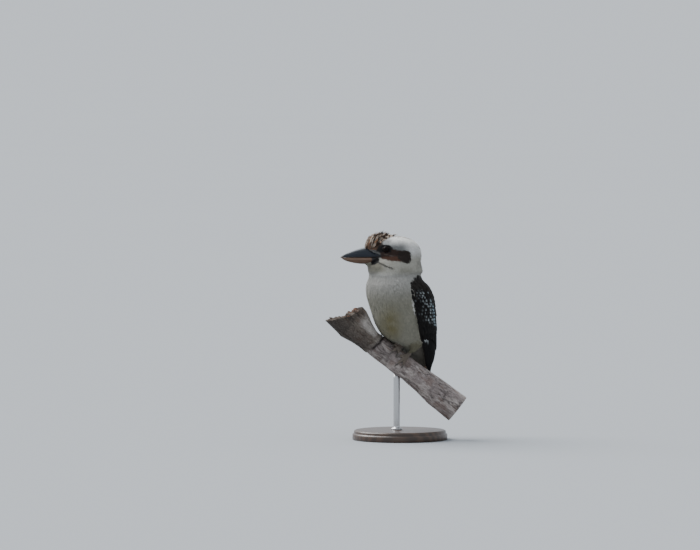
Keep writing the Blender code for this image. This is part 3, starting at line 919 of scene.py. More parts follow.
def wingPad(side):
    # the folded arm under the wing's feathers
    rings = []
    for height in np.linspace(298, wing["padFoot"], 40):
        across, level = np.linspace(0.04, 0.96, 18), np.full(18, height)
        outer, inward = wingPoint(side, across, level), -wingNormal(side, across, level)
        thick = 1.0 + (float(wingRead(height, 7)) - 1.0) * np.sin(pi * across) ** 0.8
        inner = outer + inward * (thick + 1.5)[:, None]
        rings.append(np.vstack((outer + inward * wing["padDepth"], inner[::-1])))
    return lofted(rings)


def tailPad():
    rings = []
    side, rise = roundRing(28, 2.6, 2.6)
    for height, forward, wide, thick in softRows(tail["rows"][:3], 20):
        rings.append(trunk.point(forward + rise * (thick - 1.6), side * (wide - 3), np.full(28, height)))
    return lofted(rings)


def lidRings(side):
    # two soft lids round the eye, a little open in front and behind
    centre, turns, shape = head.point(eye["forward"], side * eyeLeft, eye["height"]), turnsOf(48), []
    up = (0.0, 0.0, 1.0)
    for size, lift in ((7.4, 0.8), (6.9, 2.5), (6.4, 3.4), (6.0, 3.9), (5.65, 4.1), (5.35, 3.9), (5.5, 3.0)):
        wide = size * (1 + 0.10 * np.cos(2 * turns))
        tall = size * (0.86 - 0.04 * np.sin(turns))
        folds = 0.12 * np.sin(turns * 24) * (size > 5.4)
        ring = centre + np.outer(np.cos(turns) * wide, head.ahead) + np.outer(np.sin(turns) * tall, up)
        shape.append(ring + head.aside * side * (lift + folds - 0.12 * size * np.cos(turns))[:, None])
    return np.concatenate(shape), ringFaces(len(shape), len(turns))


setPoints(outline.data, guidePoints - guideNormals * coatAt(guidePoints)["depth"][:, None])
innerPoints, innerFaces = pointsOf(outline.data), [list(face.vertices) for face in outline.data.polygons]
shapes = [(innerPoints, innerFaces), wingPad(1), wingPad(-1), tailPad()]
skinPiece = remeshed(pieceFrom("skin", *joined(shapes), outward=False), skin["voxel"], 2)
bpy.data.objects.remove(outline, do_unlink=True)
setPoints(skinPiece.data, clearOfBranch(pointsOf(skinPiece.data), 0.25))
print("skin", len(skinPiece.data.polygons), "faces")


def unwrapped(piece):
    # the skin's own unwrap; gives the place on it that is nearest to any point
    bpy.context.view_layer.objects.active = piece
    piece.select_set(True)
    piece.data.uv_layers.new(name="OFBake")
    bpy.ops.object.mode_set(mode="EDIT")
    bpy.ops.mesh.select_all(action="SELECT")
    bpy.ops.uv.smart_project(angle_limit=radians(66), island_margin=0.003)
    bpy.ops.object.mode_set(mode="OBJECT")
    piece.select_set(False)
    loops = np.empty(len(piece.data.loops) * 2)
    piece.data.uv_layers["OFBake"].data.foreach_get("uv", loops)
    places = loops.reshape(-1, 2)[[face.loop_start for face in piece.data.polygons]]
    centres = np.empty(len(piece.data.polygons) * 3)
    piece.data.polygons.foreach_get("center", centres)
    tree = treeOf(centres.reshape(-1, 3) / mm)
    return lambda points: places[[tree.find(point)[1] for point in points]]


def scutes(points):
    # low plates across the toes and up the shanks, 0 in the grooves between them
    plates = np.zeros(len(points))
    for side in ("left", "right"):
        away = np.linalg.norm(points - ankle(side), axis=1)
        plates = np.where(away < 34, 0.5 + 0.5 * np.cos(away * 2 * pi / 1.9), plates)
    return ease(2.0, 0.6, footDistance(points)) * plates ** 0.6


def makeSkin(piece):
    points = pointsOf(piece.data)
    chosen = set(np.nonzero((footDistance(points) < 1.6) & (points[:, 2] < 186))[0].tolist())

    def finer(work):
        edges = [edge for edge in work.edges if chosen.issuperset(corner.index for corner in edge.verts)]
        bmesh.ops.subdivide_edges(work, edges=edges, cuts=2, use_grid_fill=True, smooth=0.6)
        bmesh.ops.triangulate(work, faces=[face for face in work.faces if len(face.verts) > 4])

    reshaped(piece.data, finer)
    points, normals = pointsOf(piece.data), normalsOf(piece.data)
    near, relief = footDistance(points) < 2.0, np.zeros(len(points))
    relief[near] = scutes(points[near]) * 0.22 - 0.12
    setPoints(piece.data, points + normals * relief[:, None])
    for side in (1, -1):
        lid = pieceFrom("lid", *lidRings(side))
        reshaped(piece.data, lambda work: work.from_mesh(lid.data))
        bpy.data.objects.remove(lid, do_unlink=True)
    piece.data.shade_smooth()
    points = pointsOf(piece.data)
    forward, left, height = head.read(points)
    lids = (toEye(forward, height) < 7.6) & (np.abs(left) > eyeLeft - 1)
    away, left, level = trunk.read(points)
    edge, wide = wingEdges(level)
    onWing = (away < edge - 3) & (np.abs(left) > wide) & (level < 298)
    gap = footDistance(points)
    near, grooves = gap < 2.0, np.zeros(len(points))
    grooves[near] = 1 - scutes(points[near])
    colours = layered(
        markings(points), (skin["lids"], lids), ("black", onWing),
        (shadeOf("foot") * 0.35, grooves * ease(2, 1, gap) * 0.75),
    )
    paintPoints(piece.data, colours)
    paint = Paint("skin with feather pits", skin["steady"])
    fine, patchy = paint.noise(paint.place(), 900.0, 2.0), paint.noise(paint.place(), 140.0)
    tone = paint.mix(patchy.between(0.35, 0.7) * 0.3, paint.painted(), (0.32, 0.25, 0.21), "SOFT_LIGHT")
    material = paint.finish(
        Base_Color=tone,
        Roughness=(0.5 + patchy * 0.3).clipped(),
        Normal=paint.bump(fine * 0.5 + paint.cells(700.0) * 0.5, 0.35, 0.0004),
    )
    given(piece, material, "pale_feather", skin["nodes"])
    return unwrapped(piece)


bakePlace = makeSkin(skinPiece)
print("skin painted", len(skinPiece.data.polygons), "faces")


# plans of single feathers: along is 0 to 1, across -1 to 1 at full width, lift in half widths

def planOf(spots, faces):
    # spots are (along, across, lift)
    along, across, lift = np.array(spots, float).T
    return {"along": along, "across": across, "lift": lift, "faces": faces}


def vanePlan(rows, outline, camber, thick, notches, seed, columns=7):
    # a closed, thin vane with a raised shaft; notches part its edges
    rng = np.random.default_rng(seed)
    along = np.repeat(rows, columns)
    part = np.tile(np.linspace(-1, 1, columns), len(rows))
    across = part * outline(along)
    for _ in range(notches):
        edge, row = rng.choice((-1, 1)), rng.integers(2, len(rows) - 1)
        across[(part == edge) & (along == rows[row])] *= rng.uniform(0.72, 0.9)
    lift = camber * (1 - np.abs(across) ** 1.6)
    rim = (np.abs(part) > 0.99) | (along >= rows[-1]) | (along <= rows[0])
    under = np.arange(len(along))
    under[~rim] = len(along) + np.arange((~rim).sum())
    faces = []
    for face in ringFaces(len(rows), columns, closed=False):
        faces += [face, [int(under[corner]) for corner in face[::-1]]]
    top = lift + np.where(rim, 0, thick) + 0.6 * thick * (np.abs(part) < 0.01)
    upper = np.stack((along, across, top), axis=1)
    lower = np.stack((along, across, lift - thick), axis=1)
    return planOf(np.concatenate((upper, lower[~rim])), faces)


def plumePlan(seed, barbs=9, sideBarbs=4, reach=0.32, loose=0.09):
    # a soft body feather: a cambered vane whose end parts into barbs
    rng = np.random.default_rng(seed)
    sections = ((0.0, 0.3), (0.3, 0.85), (0.55, 1.0), (0.76, 0.86))
    spots = [(row, side * size, 0.20 * (1 - abs(side))) for row, size in sections for side in (-1, 0, 1)]
    faces = ringFaces(len(sections), 3, closed=False)

    def addBarb(base, baseSide, tip, tipSide, width, bend):
        start = len(spots)
        middle, middleSide = (base + tip) / 2, (baseSide + tipSide) / 2 + bend
        for at, side, size in ((base, baseSide, width), (middle, middleSide, width * 0.85)):
            for edge in (-1, 1):
                rise = 0.20 * (1 - min(1, abs(side)) ** 2) + rng.normal(0, 0.03)
                spots.append((at, side + edge * size, rise))
        spots.append((tip, tipSide, 0.15 * (1 - min(1, abs(tipSide)) ** 2) + rng.normal(0.02, loose)))
        faces.extend([[start, start + 1, start + 3, start + 2], [start + 2, start + 3, start + 4]])

    for barb in range(barbs):
        side = -1 + 2 * (barb + 0.5) / barbs
        base = 0.70 - 0.16 * side**2
        tip = min(1.0, base + reach * rng.uniform(0.75, 1.05) + 0.03)
        addBarb(base, side * 0.86, tip, side * rng.uniform(0.85, 1.2), 0.9 / barbs, rng.normal(0, 0.05))
    for barb in range(sideBarbs):
        side = 1 if barb % 2 else -1
        base = 0.30 + 0.12 * (barb // 2)
        tip = base + reach * rng.uniform(0.8, 1.1)
        addBarb(base, side * 0.8, tip, side * rng.uniform(1.15, 1.4), 0.12, side * 0.08)
    return planOf(spots, faces)


def tuftPlan(seed, blades=3):
    # a short tuft for the face: a few narrow blades side by side
    rng = np.random.default_rng(seed)
    spots, faces = [], []
    for blade in range(blades):
        side, tip, start = (-1 + 2 * (blade + 0.5) / blades) * 0.75, rng.uniform(0.8, 1.0), len(spots)
        for at, size, spread in ((0.0, 0.34, 0.7), (0.42, 0.42, 1.0), (0.75, 0.30, 1.1)):
            for edge in (-1, 1):
                rise = 0.16 * (1 - abs(side)) + 0.08 * rng.random()
                spots.append((at * tip, side * spread + edge * size, rise))
        spots.append((tip, side * rng.uniform(0.9, 1.5), 0.1 * rng.random()))
        faces += [[start, start + 1, start + 3, start + 2], [start + 2, start + 3, start + 5, start + 4]]
        faces.append([start + 4, start + 5, start + 6])
    return planOf(spots, faces)


def roundTip(along):
    return np.sqrt(np.clip(1 - (np.clip(along - 0.62, 0, 1) / 0.385) ** 2.4, 0, 1)) * ease(-0.15, 0.3, along)


def bladeTip(along):
    return np.clip(1 - (np.clip(along - 0.72, 0, 1) / 0.285) ** 1.7, 0.03, 1) * ease(-0.25, 0.25, along)


fineRows = np.array((0.0, 0.15, 0.35, 0.55, 0.7, 0.8, 0.88, 0.94, 0.98, 1.0))
plans = {
    "plume": [plumePlan(seed) for seed in range(6)],
    "crest": [plumePlan(40 + seed, 5, 6, 0.36, 0.25) for seed in range(5)],
    "tuft": [tuftPlan(seed) for seed in range(5)],
    "covert": [vanePlan(fineRows, roundTip, 0.34, 0.045, 2, seed) for seed in range(5)],
    "quill": [vanePlan(np.linspace(0, 1, 22), bladeTip, 0.30, 0.05, 4, seed) for seed in range(4)],
    "tail": [vanePlan(np.linspace(0, 1, 30), roundTip, 0.16, 0.035, 3, 60 + seed) for seed in range(4)],
}


def planted(plan, lines, sides, ups, halfWidths):
    # one plan laid along many lines: points as (feather, point, xyz)
    steps = lines.shape[1] - 1
    at = plan["along"] * steps
    low = np.minimum(at.astype(int), steps - 1)
    part = (at - low)[None, :, None]

    def along(values):
        return values[:, low] * (1 - part) + values[:, low + 1] * part

    across = plan["across"][None, :] * halfWidths[:, None]
    lift = plan["lift"][None, :] * halfWidths[:, None]
    return along(lines) + along(sides) * across[..., None] + along(ups) * lift[..., None]


class Coat:
    # gathers feathers of one kind and joins them into pieces under the triangle limit
    limit = 190000

    def __init__(self, name, paint, slot):
        self.name, self.paint, self.slot, self.batches = name, paint, slot, []

    def add(self, plan, lines, sides, ups, halfWidths, colours):
        # colours fit one row for each feather and point of the plan
        if len(lines) == 0:
            return
        points = clearOfBranch(planted(plan, lines, sides, ups, halfWidths), 0.25)
        lengths = np.linalg.norm(np.diff(lines, axis=1), axis=2).sum(1)
        bake = np.stack((plan["across"] * 0.5, plan["along"] - 0.5), axis=-1) * skin["patch"]
        bakes = bakePlace(lines[:, 0])[:, None, :] + bake[None]
        vane = np.empty(bakes.shape)
        vane[..., 0] = 0.5 + plan["across"] * 0.5
        vane[..., 1] = plan["along"][None] * (lengths / halfWidths / 2)[:, None]
        colours = np.broadcast_to(np.clip(colours, 0, 1), points.shape)
        self.batches.append((plan, points, colours, np.clip(bakes, 0, 1), vane))

    def build(self):
        made, total, group, size = 0, 0, [], 0
        for plan, *layers in self.batches:
            each = sum(len(face) - 2 for face in plan["faces"])
            start, feathers = 0, len(layers[0])
            while start < feathers:
                take = min(feathers - start, (self.limit - size) // each)
                if take > 0:
                    group.append((plan, *(layer[start:start + take] for layer in layers)))
                    size, start, total = size + take * each, start + take, total + take * each
                if start < feathers:
                    made += 1
                    self.piece(group, made)
                    group, size = [], 0
        if group:
            made += 1
            self.piece(group, made)
        print(self.name, made, "pieces", total, "triangles")

    def piece(self, group, number):
        corners, sizes, start = [], [], 0
        for plan, points, *_ in group:
            feathers, count = points.shape[:2]
            flat = np.concatenate([np.array(face) for face in plan["faces"]])
            corners.append((flat[None] + start + np.arange(feathers)[:, None] * count).ravel())
            sizes.append(np.tile([len(face) for face in plan["faces"]], feathers))
            start += feathers * count
        corners, sizes = np.concatenate(corners), np.concatenate(sizes)
        _, *kinds = zip(*group)
        points, colours, bakes, vanes = (
            np.concatenate([layer.reshape(-1, layer.shape[-1]) for layer in layers]) for layers in kinds
        )
        name = f"{self.name}_{number}"
        mesh = bpy.data.meshes.new(name)
        mesh.vertices.add(len(points))
        mesh.vertices.foreach_set("co", (points * mm).astype(np.float32).ravel())
        mesh.loops.add(len(corners))
        mesh.loops.foreach_set("vertex_index", corners.astype(np.int32))
        mesh.polygons.add(len(sizes))
        starts = np.concatenate(((0,), np.cumsum(sizes)[:-1]))
        mesh.polygons.foreach_set("loop_start", starts.astype(np.int32))
        for layer, values in (("OFBake", bakes), ("vane", vanes)):
            mesh.uv_layers.new(name=layer).data.foreach_set("uv", values[corners].astype(np.float32).ravel())
        mesh.update(calc_edges=True)
        mesh.validate()
        paintPoints(mesh, colours)
        given(placedPiece(name, mesh), self.paint, self.slot)


def featherPaint(name, rough, sheen, gloss, barbs, depth):
    # feather colour from the markings, with fine barbs slanting off the shaft
    paint = Paint(name, {"Sheen Weight": sheen, "Sheen Roughness": 0.5, "Specular IOR Level": gloss})
    vane = paint.node("ShaderNodeUVMap", {"uv_map": "vane"}, {})
    across = paint.node("ShaderNodeSeparateXYZ", {}, {"Vector": vane})
    along = Wire(paint, across.socket.node.outputs[1])
    slant = (along - (across - 0.5).math("ABSOLUTE") * 0.8) * barbs
    waver = paint.noise(paint.place(), 260.0, 2.0)
    lines = (slant + waver * 5.0).math("SINE") * 0.5 + 0.5
    patchy = paint.noise(paint.place(), 95.0, 3.0)
    darker = paint.mix(1.0, paint.painted(), (0.62, 0.60, 0.58), "MULTIPLY")
    tone = paint.mix((lines * 0.22 + patchy.between(0.45, 0.75) * 0.12).clipped(), paint.painted(), darker)
    return paint.finish(
        Base_Color=tone,
        Roughness=(patchy * 0.25 + (rough - 0.1)).clipped(),
        Normal=paint.bump(lines * 0.6 + waver * 0.4, 0.5, depth),
    )


softPaint = featherPaint("soft white plumage", 0.78, 0.12, 0.15, 26.0, 0.00015)
darkPaint = featherPaint("dark wing plumage", 0.62, 0.0, 0.07, 34.0, 0.00012)
rufousPaint = featherPaint("rufous plumage", 0.62, 0.05, 0.12, 34.0, 0.00012)
crestPaint = featherPaint("crest plumage", 0.7, 0.08, 0.12, 26.0, 0.00012)


# lie of the coat

def flowAt(points, normals):
    # which way feathers point at each place on the outline
    forward, _, height = head.read(points)
    fromBill = unit(points - head.point(np.full(len(points), 62.0), 0.0, 346.0))
    down = unit(np.array((0, 0, -1.0)) - 0.30 * trunk.ahead)
    turn = np.clip(ease(344, 318, height) + ease(-16, -42, forward) * 0.75, 0, 1)
    run = tint(fromBill, down, turn)
    for side in (1, -1):
        away = points - head.point(eye["forward"], side * (eyeLeft + 3), eye["height"])
        gap = np.linalg.norm(away, axis=1, keepdims=True)
        run = run + 1.1 * unit(away) * ease(17, 7, gap)
    run = run - normals * np.sum(run * normals, axis=1, keepdims=True)
    return unit(run)


def walked(roots, lengths, steps, wander):
    # lines that follow the outline from each root, and which way is up along them
    points, normals = snapped(roots)
    swing = chance.normal(0, wander, len(roots))
    centres, ups = [points], [normals]
    for _ in range(steps - 1):
        run = flowAt(points, normals)
        across = np.cross(run, normals)
        run = unit(run * np.cos(swing)[:, None] + across * np.sin(swing)[:, None])
        points, normals = snapped(points + run * (lengths / (steps - 1))[:, None])
        centres.append(points)
        ups.append(normals)
    return np.stack(centres, axis=1), np.stack(ups, axis=1)


def sidesOf(centres, ups):
    runs = unit(np.gradient(centres, axis=1))
    return unit(np.cross(runs, ups))


def scattered(perFace, gapAt, keep, seed):
    # roots spread over the outline no closer together than the gap there
    rng = np.random.default_rng(seed)
    faces = np.array([face for face in innerFaces if len(face) == 4])
    corners = guidePoints[faces]
    corners = np.repeat(corners[keep(corners.mean(axis=1))], perFace, axis=0)
    first, second = rng.random((2, len(corners), 1))
    low = corners[:, 0] * (1 - first) + corners[:, 1] * first
    high = corners[:, 3] * (1 - first) + corners[:, 2] * first
    spots = low * (1 - second) + high * second
    spots = spots[rng.permutation(len(spots))]
    tree, free, chosen = treeOf(spots), np.ones(len(spots), bool), []
    for index, gap in enumerate(gapAt(spots)):
        if free[index]:
            chosen.append(index)
            free[[other for _, other, _ in tree.find_range(spots[index], gap)]] = False
    return spots[chosen]


def underWing(points, inset=7.0):
    forward, left, height = trunk.read(points)
    edge, inner = wingEdges(height)
    return (forward < edge - inset) & (np.abs(left) > inner + 4) & (height < 296) & (height > 200)


def bare(points):
    # places with no feathers: bill, eyes, toes and what the branch covers
    forward, left, height = head.read(points)
    inEye = (toEye(forward, height) < eye["opening"] + 0.6) & (np.abs(left) > 10) & (height > 330)
    onBill = (height < readRows(billEdge["upper"], forward)) & (forward > 36)
    onBill &= height > readRows(billEdge["lower"], forward) + 4 * ease(37, 44, forward)
    toes = (footDistance(points) < 1.6) & (thighDistance(points) > -1.0)
    _, _, radius, wanted = inBranch(points, 0.8)
    return inEye | onBill | toes | (radius < wanted)


def addVanes(coat, kind, lines, ups, halfWidths, coloursOf):
    sides = sidesOf(lines, ups)
    kinds = chance.integers(0, len(plans[kind]), len(lines))
    for index, plan in enumerate(plans[kind]):
        rows = np.nonzero(kinds == index)[0]
        if len(rows):
            coat.add(plan, lines[rows], sides[rows], ups[rows], halfWidths[rows], coloursOf(plan, rows))


softCoats = {
    # tries for each face, their seed, the gaps' share, points along a feather, spread of its length, how
    # fast it rises, how far it stays in, how loose its tip is, how far the nape's stand out, unevenness,
    # length under which it is a tuft, width, and its darker root and paler edge
    "body": {
        "tries": 3, "seed": 21, "gap": 1.0, "steps": 6, "spread": (0.85, 1.15), "rise": 0.9, "inset": 0.3,
        "loose": 0.15, "nape": 0, "tone": 0.05, "kinds": ("plume",), "tuft": 0.0, "wide": (0.9, 1.12),
        "root": (0.55, 0.15, 0.12), "edge": 0.05,
    },
    "head": {
        "tries": 8, "seed": 22, "gap": 0.95, "steps": 5, "spread": (0.85, 1.2), "rise": 1.0, "inset": 0.15,
        "loose": 0.08, "nape": 1.85, "tone": 0.07, "kinds": ("tuft", "plume"), "tuft": 5.5, "wide": 1.3,
        "root": (0.5, 0.1, 0.08), "edge": 0.0,
    },
}


def makeSoftCoat(part, keep):
    # small feathers that rise from the skin and lie down again at the outline
    made, values = Coat("coat_" + part, softPaint, "pale_feather"), softCoats[part]
    tries, seed, gap = values["tries"], values["seed"], values["gap"]
    roots = scattered(tries, lambda spots: coatAt(spots)["gap"] * gap, keep, seed)
    roots = roots[~bare(roots)]
    coat, count, along = coatAt(roots), len(roots), np.linspace(0, 1, values["steps"])
    lengths = coat["length"] * chance.uniform(*values["spread"], count)
    centres, ups = walked(roots, lengths, values["steps"], 0.10)
    rise = np.sin(along * pi / 2) ** values["rise"]
    depth = coat["depth"][:, None] * (1 - rise)[None] + values["inset"]
    loose = chance.normal(0, values["loose"], count)[:, None] * along[None] ** 2
    if values["nape"]:
        nape = ease(-30, -46, head.read(roots)[0]) * chance.uniform(0, values["nape"], count) ** 2
        loose = loose + nape[:, None] * along[None] ** 2
    lines, sides = centres - ups * (depth - loose)[..., None], sidesOf(centres, ups)
    shown = markings(centres[:, -2])
    shown = shown * (1 + chance.normal(0, values["tone"], count))[:, None]
    start, end, dark = values["root"]
    for kind in values["kinds"]:
        group = (coat["length"] < values["tuft"]) == (kind == "tuft")
        kinds = chance.integers(0, len(plans[kind]), count)
        wide = values["wide"]
        halfWidths = coat["wide"] * (chance.uniform(*wide, count) if isinstance(wide, tuple) else wide)
        for index, plan in enumerate(plans[kind]):
            rows = (kinds == index) & group
            low = ease(start, end, plan["along"])[None, :, None]
            edge = ease(0.7, 1.0, plan["along"])[None, :, None]
            colours = shown[rows][:, None, :] * (1 - dark * low) * (1 + values["edge"] * edge)
            made.add(plan, lines[rows], sides[rows], ups[rows], halfWidths[rows], colours)
    made.build()


def bodyArea(points):
    forward, _, height = head.read(points)
    away = underWing(points) | bare(points) | (onBack(points) > 0.5)
    return (height < 334) & ~away & ~((height > 318) & (forward > 12))


def headArea(points):
    return (points[:, 2] > 316) & ~bare(points)


def mantleArea(points):
    return (onBack(points) > 0.3) & ~underWing(points, 9.0) & ~bare(points)


def makeBackCoat():
    # broad dark feathers between the wings, down to the barred coverts over the tail
    dark = Coat("coat_back", darkPaint, "dark_feather")
    roots = scattered(3, lambda spots: np.interp(spots[:, 2], (170, 220, 300), (3.4, 4.6, 4.2)), mantleArea, 23)
    heights, count, part = (150, 190, 240, 300), len(roots), np.linspace(0, 1, 6)
    lengths = np.interp(roots[:, 2], heights, (15, 19, 19, 12)) * chance.uniform(0.9, 1.1, count)
    centres, ups = walked(roots, lengths, 6, 0.06)
    lift = chance.normal(0.2, 0.2, count)[:, None] * part[None] ** 2 - 2.6 * (1 - np.sin(part * pi / 2)) - 0.6
    lines = centres + ups * lift[..., None]
    halfWidths = np.interp(roots[:, 2], heights, (3.0, 4.4, 4.8, 3.4))
    shade = 1 + chance.normal(0, 0.10, count)

    def coloursOf(plan, rows):
        spots = planted(plan, lines[rows], sidesOf(lines[rows], ups[rows]), ups[rows], halfWidths[rows])
        edge = 1 + 0.6 * ease(0.6, 1.0, np.abs(plan["across"])) * ease(0.3, 0.8, plan["along"])
        dorsal = trunkMarkings(spots)
        dorsal = np.where(dorsal.mean(-1, keepdims=True) > 0.3, shadeOf("mantle"), dorsal)
        return dorsal * shade[rows][:, None, None] * edge[None, :, None]

    addVanes(dark, "covert", lines, ups, halfWidths, coloursOf)
    dark.build()


makeSoftCoat("body", bodyArea)
makeBackCoat()
makeSoftCoat("head", headArea)


# wings

plumes = {
    # rows of short feathers on the folded wing: height of the first row and the last, rows, space between
    # neighbours, length, half width, and how far roots and tips stand off
    "lesser": (303.0, 276.0, 7, 5.6, 13.0, 3.5, (-0.9, 1.6)),
    "median": (273.0, 226.0, 9, 6.4, 16.0, 4.0, (-1.15, 1.35)),
    "greater": (224.0, 214.0, 2, 7.2, 27.0, 4.8, (-1.4, 0.9)),
    "scapular": (306.0, 252.0, 7, 7.0, 24.0, 5.6, (-0.6, 1.9)),
}
quills = {
    "primaries": 8,
    "secondaries": 11,
    "coverts": 6,
    "inner": 3,
    # rims and the pale patch
    "primaryRim": (0.075, 0.062, 0.050),
    "secondaryRim": (0.055, 0.062, 0.066),
    "patch": (0.40, 0.42, 0.42),
    "spots": (0.24, 0.26, 0.265),
    "shoulder": (0.26, 0.28, 0.285),
}


def wingLines(side, starts, ends, lifts, steps):
    # feather lines over the wing's outer face, from (across, height) to (across, height)
    part = np.linspace(0, 1, steps)[None]
    starts, ends, lifts = np.array(starts), np.array(ends), np.array(lifts)
    across = starts[:, :1] * (1 - part) + ends[:, :1] * part
    height = starts[:, 1:] * (1 - part) + ends[:, 1:] * part
    ups = wingNormal(side, across, np.clip(height, 116, 299))
    lift = lifts[:, :1] + (lifts[:, 1:] - lifts[:, :1]) * part - wing["sink"]
    return wingPoint(side, across, height) + ups * lift[..., None], ups


def wingSpread(height):
    # length of the wing's outer face across at this height
    edge = wingPoint(1, np.linspace(0, 1, 30), np.full(30, height))
    return np.linalg.norm(np.diff(edge, axis=0), axis=1).sum()


def rowOfFeathers(kind, low=0.0, high=1.0):
    # places for one group of short feathers, how far each stands off, and their half width
    top, foot, rows, pitch, length, half, lift = plumes[kind]
    starts, ends = [], []
    for row, height in enumerate(np.linspace(top, foot, rows)):
        count = max(3, int(round(wingSpread(min(height, 298)) * (high - low) / pitch)))
        for place in range(count):
            across = low + (high - low) * (place + 0.5 + 0.5 * (row % 2 - 0.5)) / count
            across += chance.normal(0, 0.006)
            drop = length * chance.uniform(0.92, 1.08)
            drift = 0.012 * length / 10 * (0.5 - across)
            starts.append((across, height + chance.normal(0, 0.5)))
            ends.append((across + drift, height - drop))
    return np.array(starts), np.array(ends), np.tile(lift, (len(starts), 1)), half


def spotted(plan, spots, spot, edge, base, tip, lean):
    # colours along one kind of vane: a ragged pale drop near the tip, beside or over a dark shaft
    along, across = plan["along"][None], plan["across"][None]
    ragged = 0.45 * ripple(spots, 1.5, 82) + 0.25 * ripple(spots, 0.7, 83)
    drop = np.hypot((along - 0.85) / 0.13, (across - lean[:, None]) / (0.20 + 0.36 * spot[:, None])) + ragged
    mask = ease(1.25, 0.65, drop) * ease(0.05, 0.5, spot)[:, None]
    streaks = ease(0.35, 0.95, np.abs(across) + ragged) * edge[:, None] * ease(0.1, 0.4, along)
    shaft = ease(0.12, 0.02, np.abs(across)) * ease(1.0, 0.8, along) * 0.3
    colours = tint(base[:, None, :], tip[:, None, :], np.clip(np.maximum(mask, streaks), 0, 1))
    return colours * (1 - 0.25 * ease(0.5, 0.1, along) - shaft)[..., None]


def wingPattern(ends):
    # base colour, tip colour, spot and pale edge for coverts, by their tips' place on the wing
    across, height = ends[:, 0], ends[:, 1] + 2.5
    count = len(ends)
    plain = np.maximum(ease(272, 284, height), ease(0.42, 0.50, across) * ease(240, 262, height))
    base = tint("black", "mantle", np.maximum(plain, 0.25))
    low = ease(224, 238, height + 50 * across)
    place = np.stack((across * 60, height, 0 * height), axis=-1)
    chosen = ease(-0.15, 0.5, ripple(place, 13, 81) + chance.normal(0, 0.35, count))
    spot = (1 - plain) * ease(0.0, 0.03, across) * low * chosen
    bluish = np.exp(-(((across - 0.46) / 0.10) ** 2) - ((height - 234) / 24) ** 2)
    big = np.exp(-(((across - 0.20) / 0.06) ** 2) - ((height - 271) / 7) ** 2)
    tip = np.array(quills["spots"]) * (0.30 + 0.70 * ease(0.10, 0.26, across))[:, None]
    tip = tint(tip, "blue", np.clip(bluish * 1.2, 0, 1))
    spot = np.clip(np.maximum(spot, np.maximum(bluish * chance.uniform(0.5, 1.0, count), big)), 0, 1)
    edge = np.clip(bluish * 0.6 * chance.random(count) + big * 0.5, 0, 0.8)
    shade = 1 + chance.normal(0, 0.12, count)
    tip = tint(tip, quills["shoulder"], np.clip(big, 0, 1))
    return base * shade[:, None], tip * shade[:, None], spot, edge


def pairs(*values):
    return np.stack(np.broadcast_arrays(*values), axis=1)


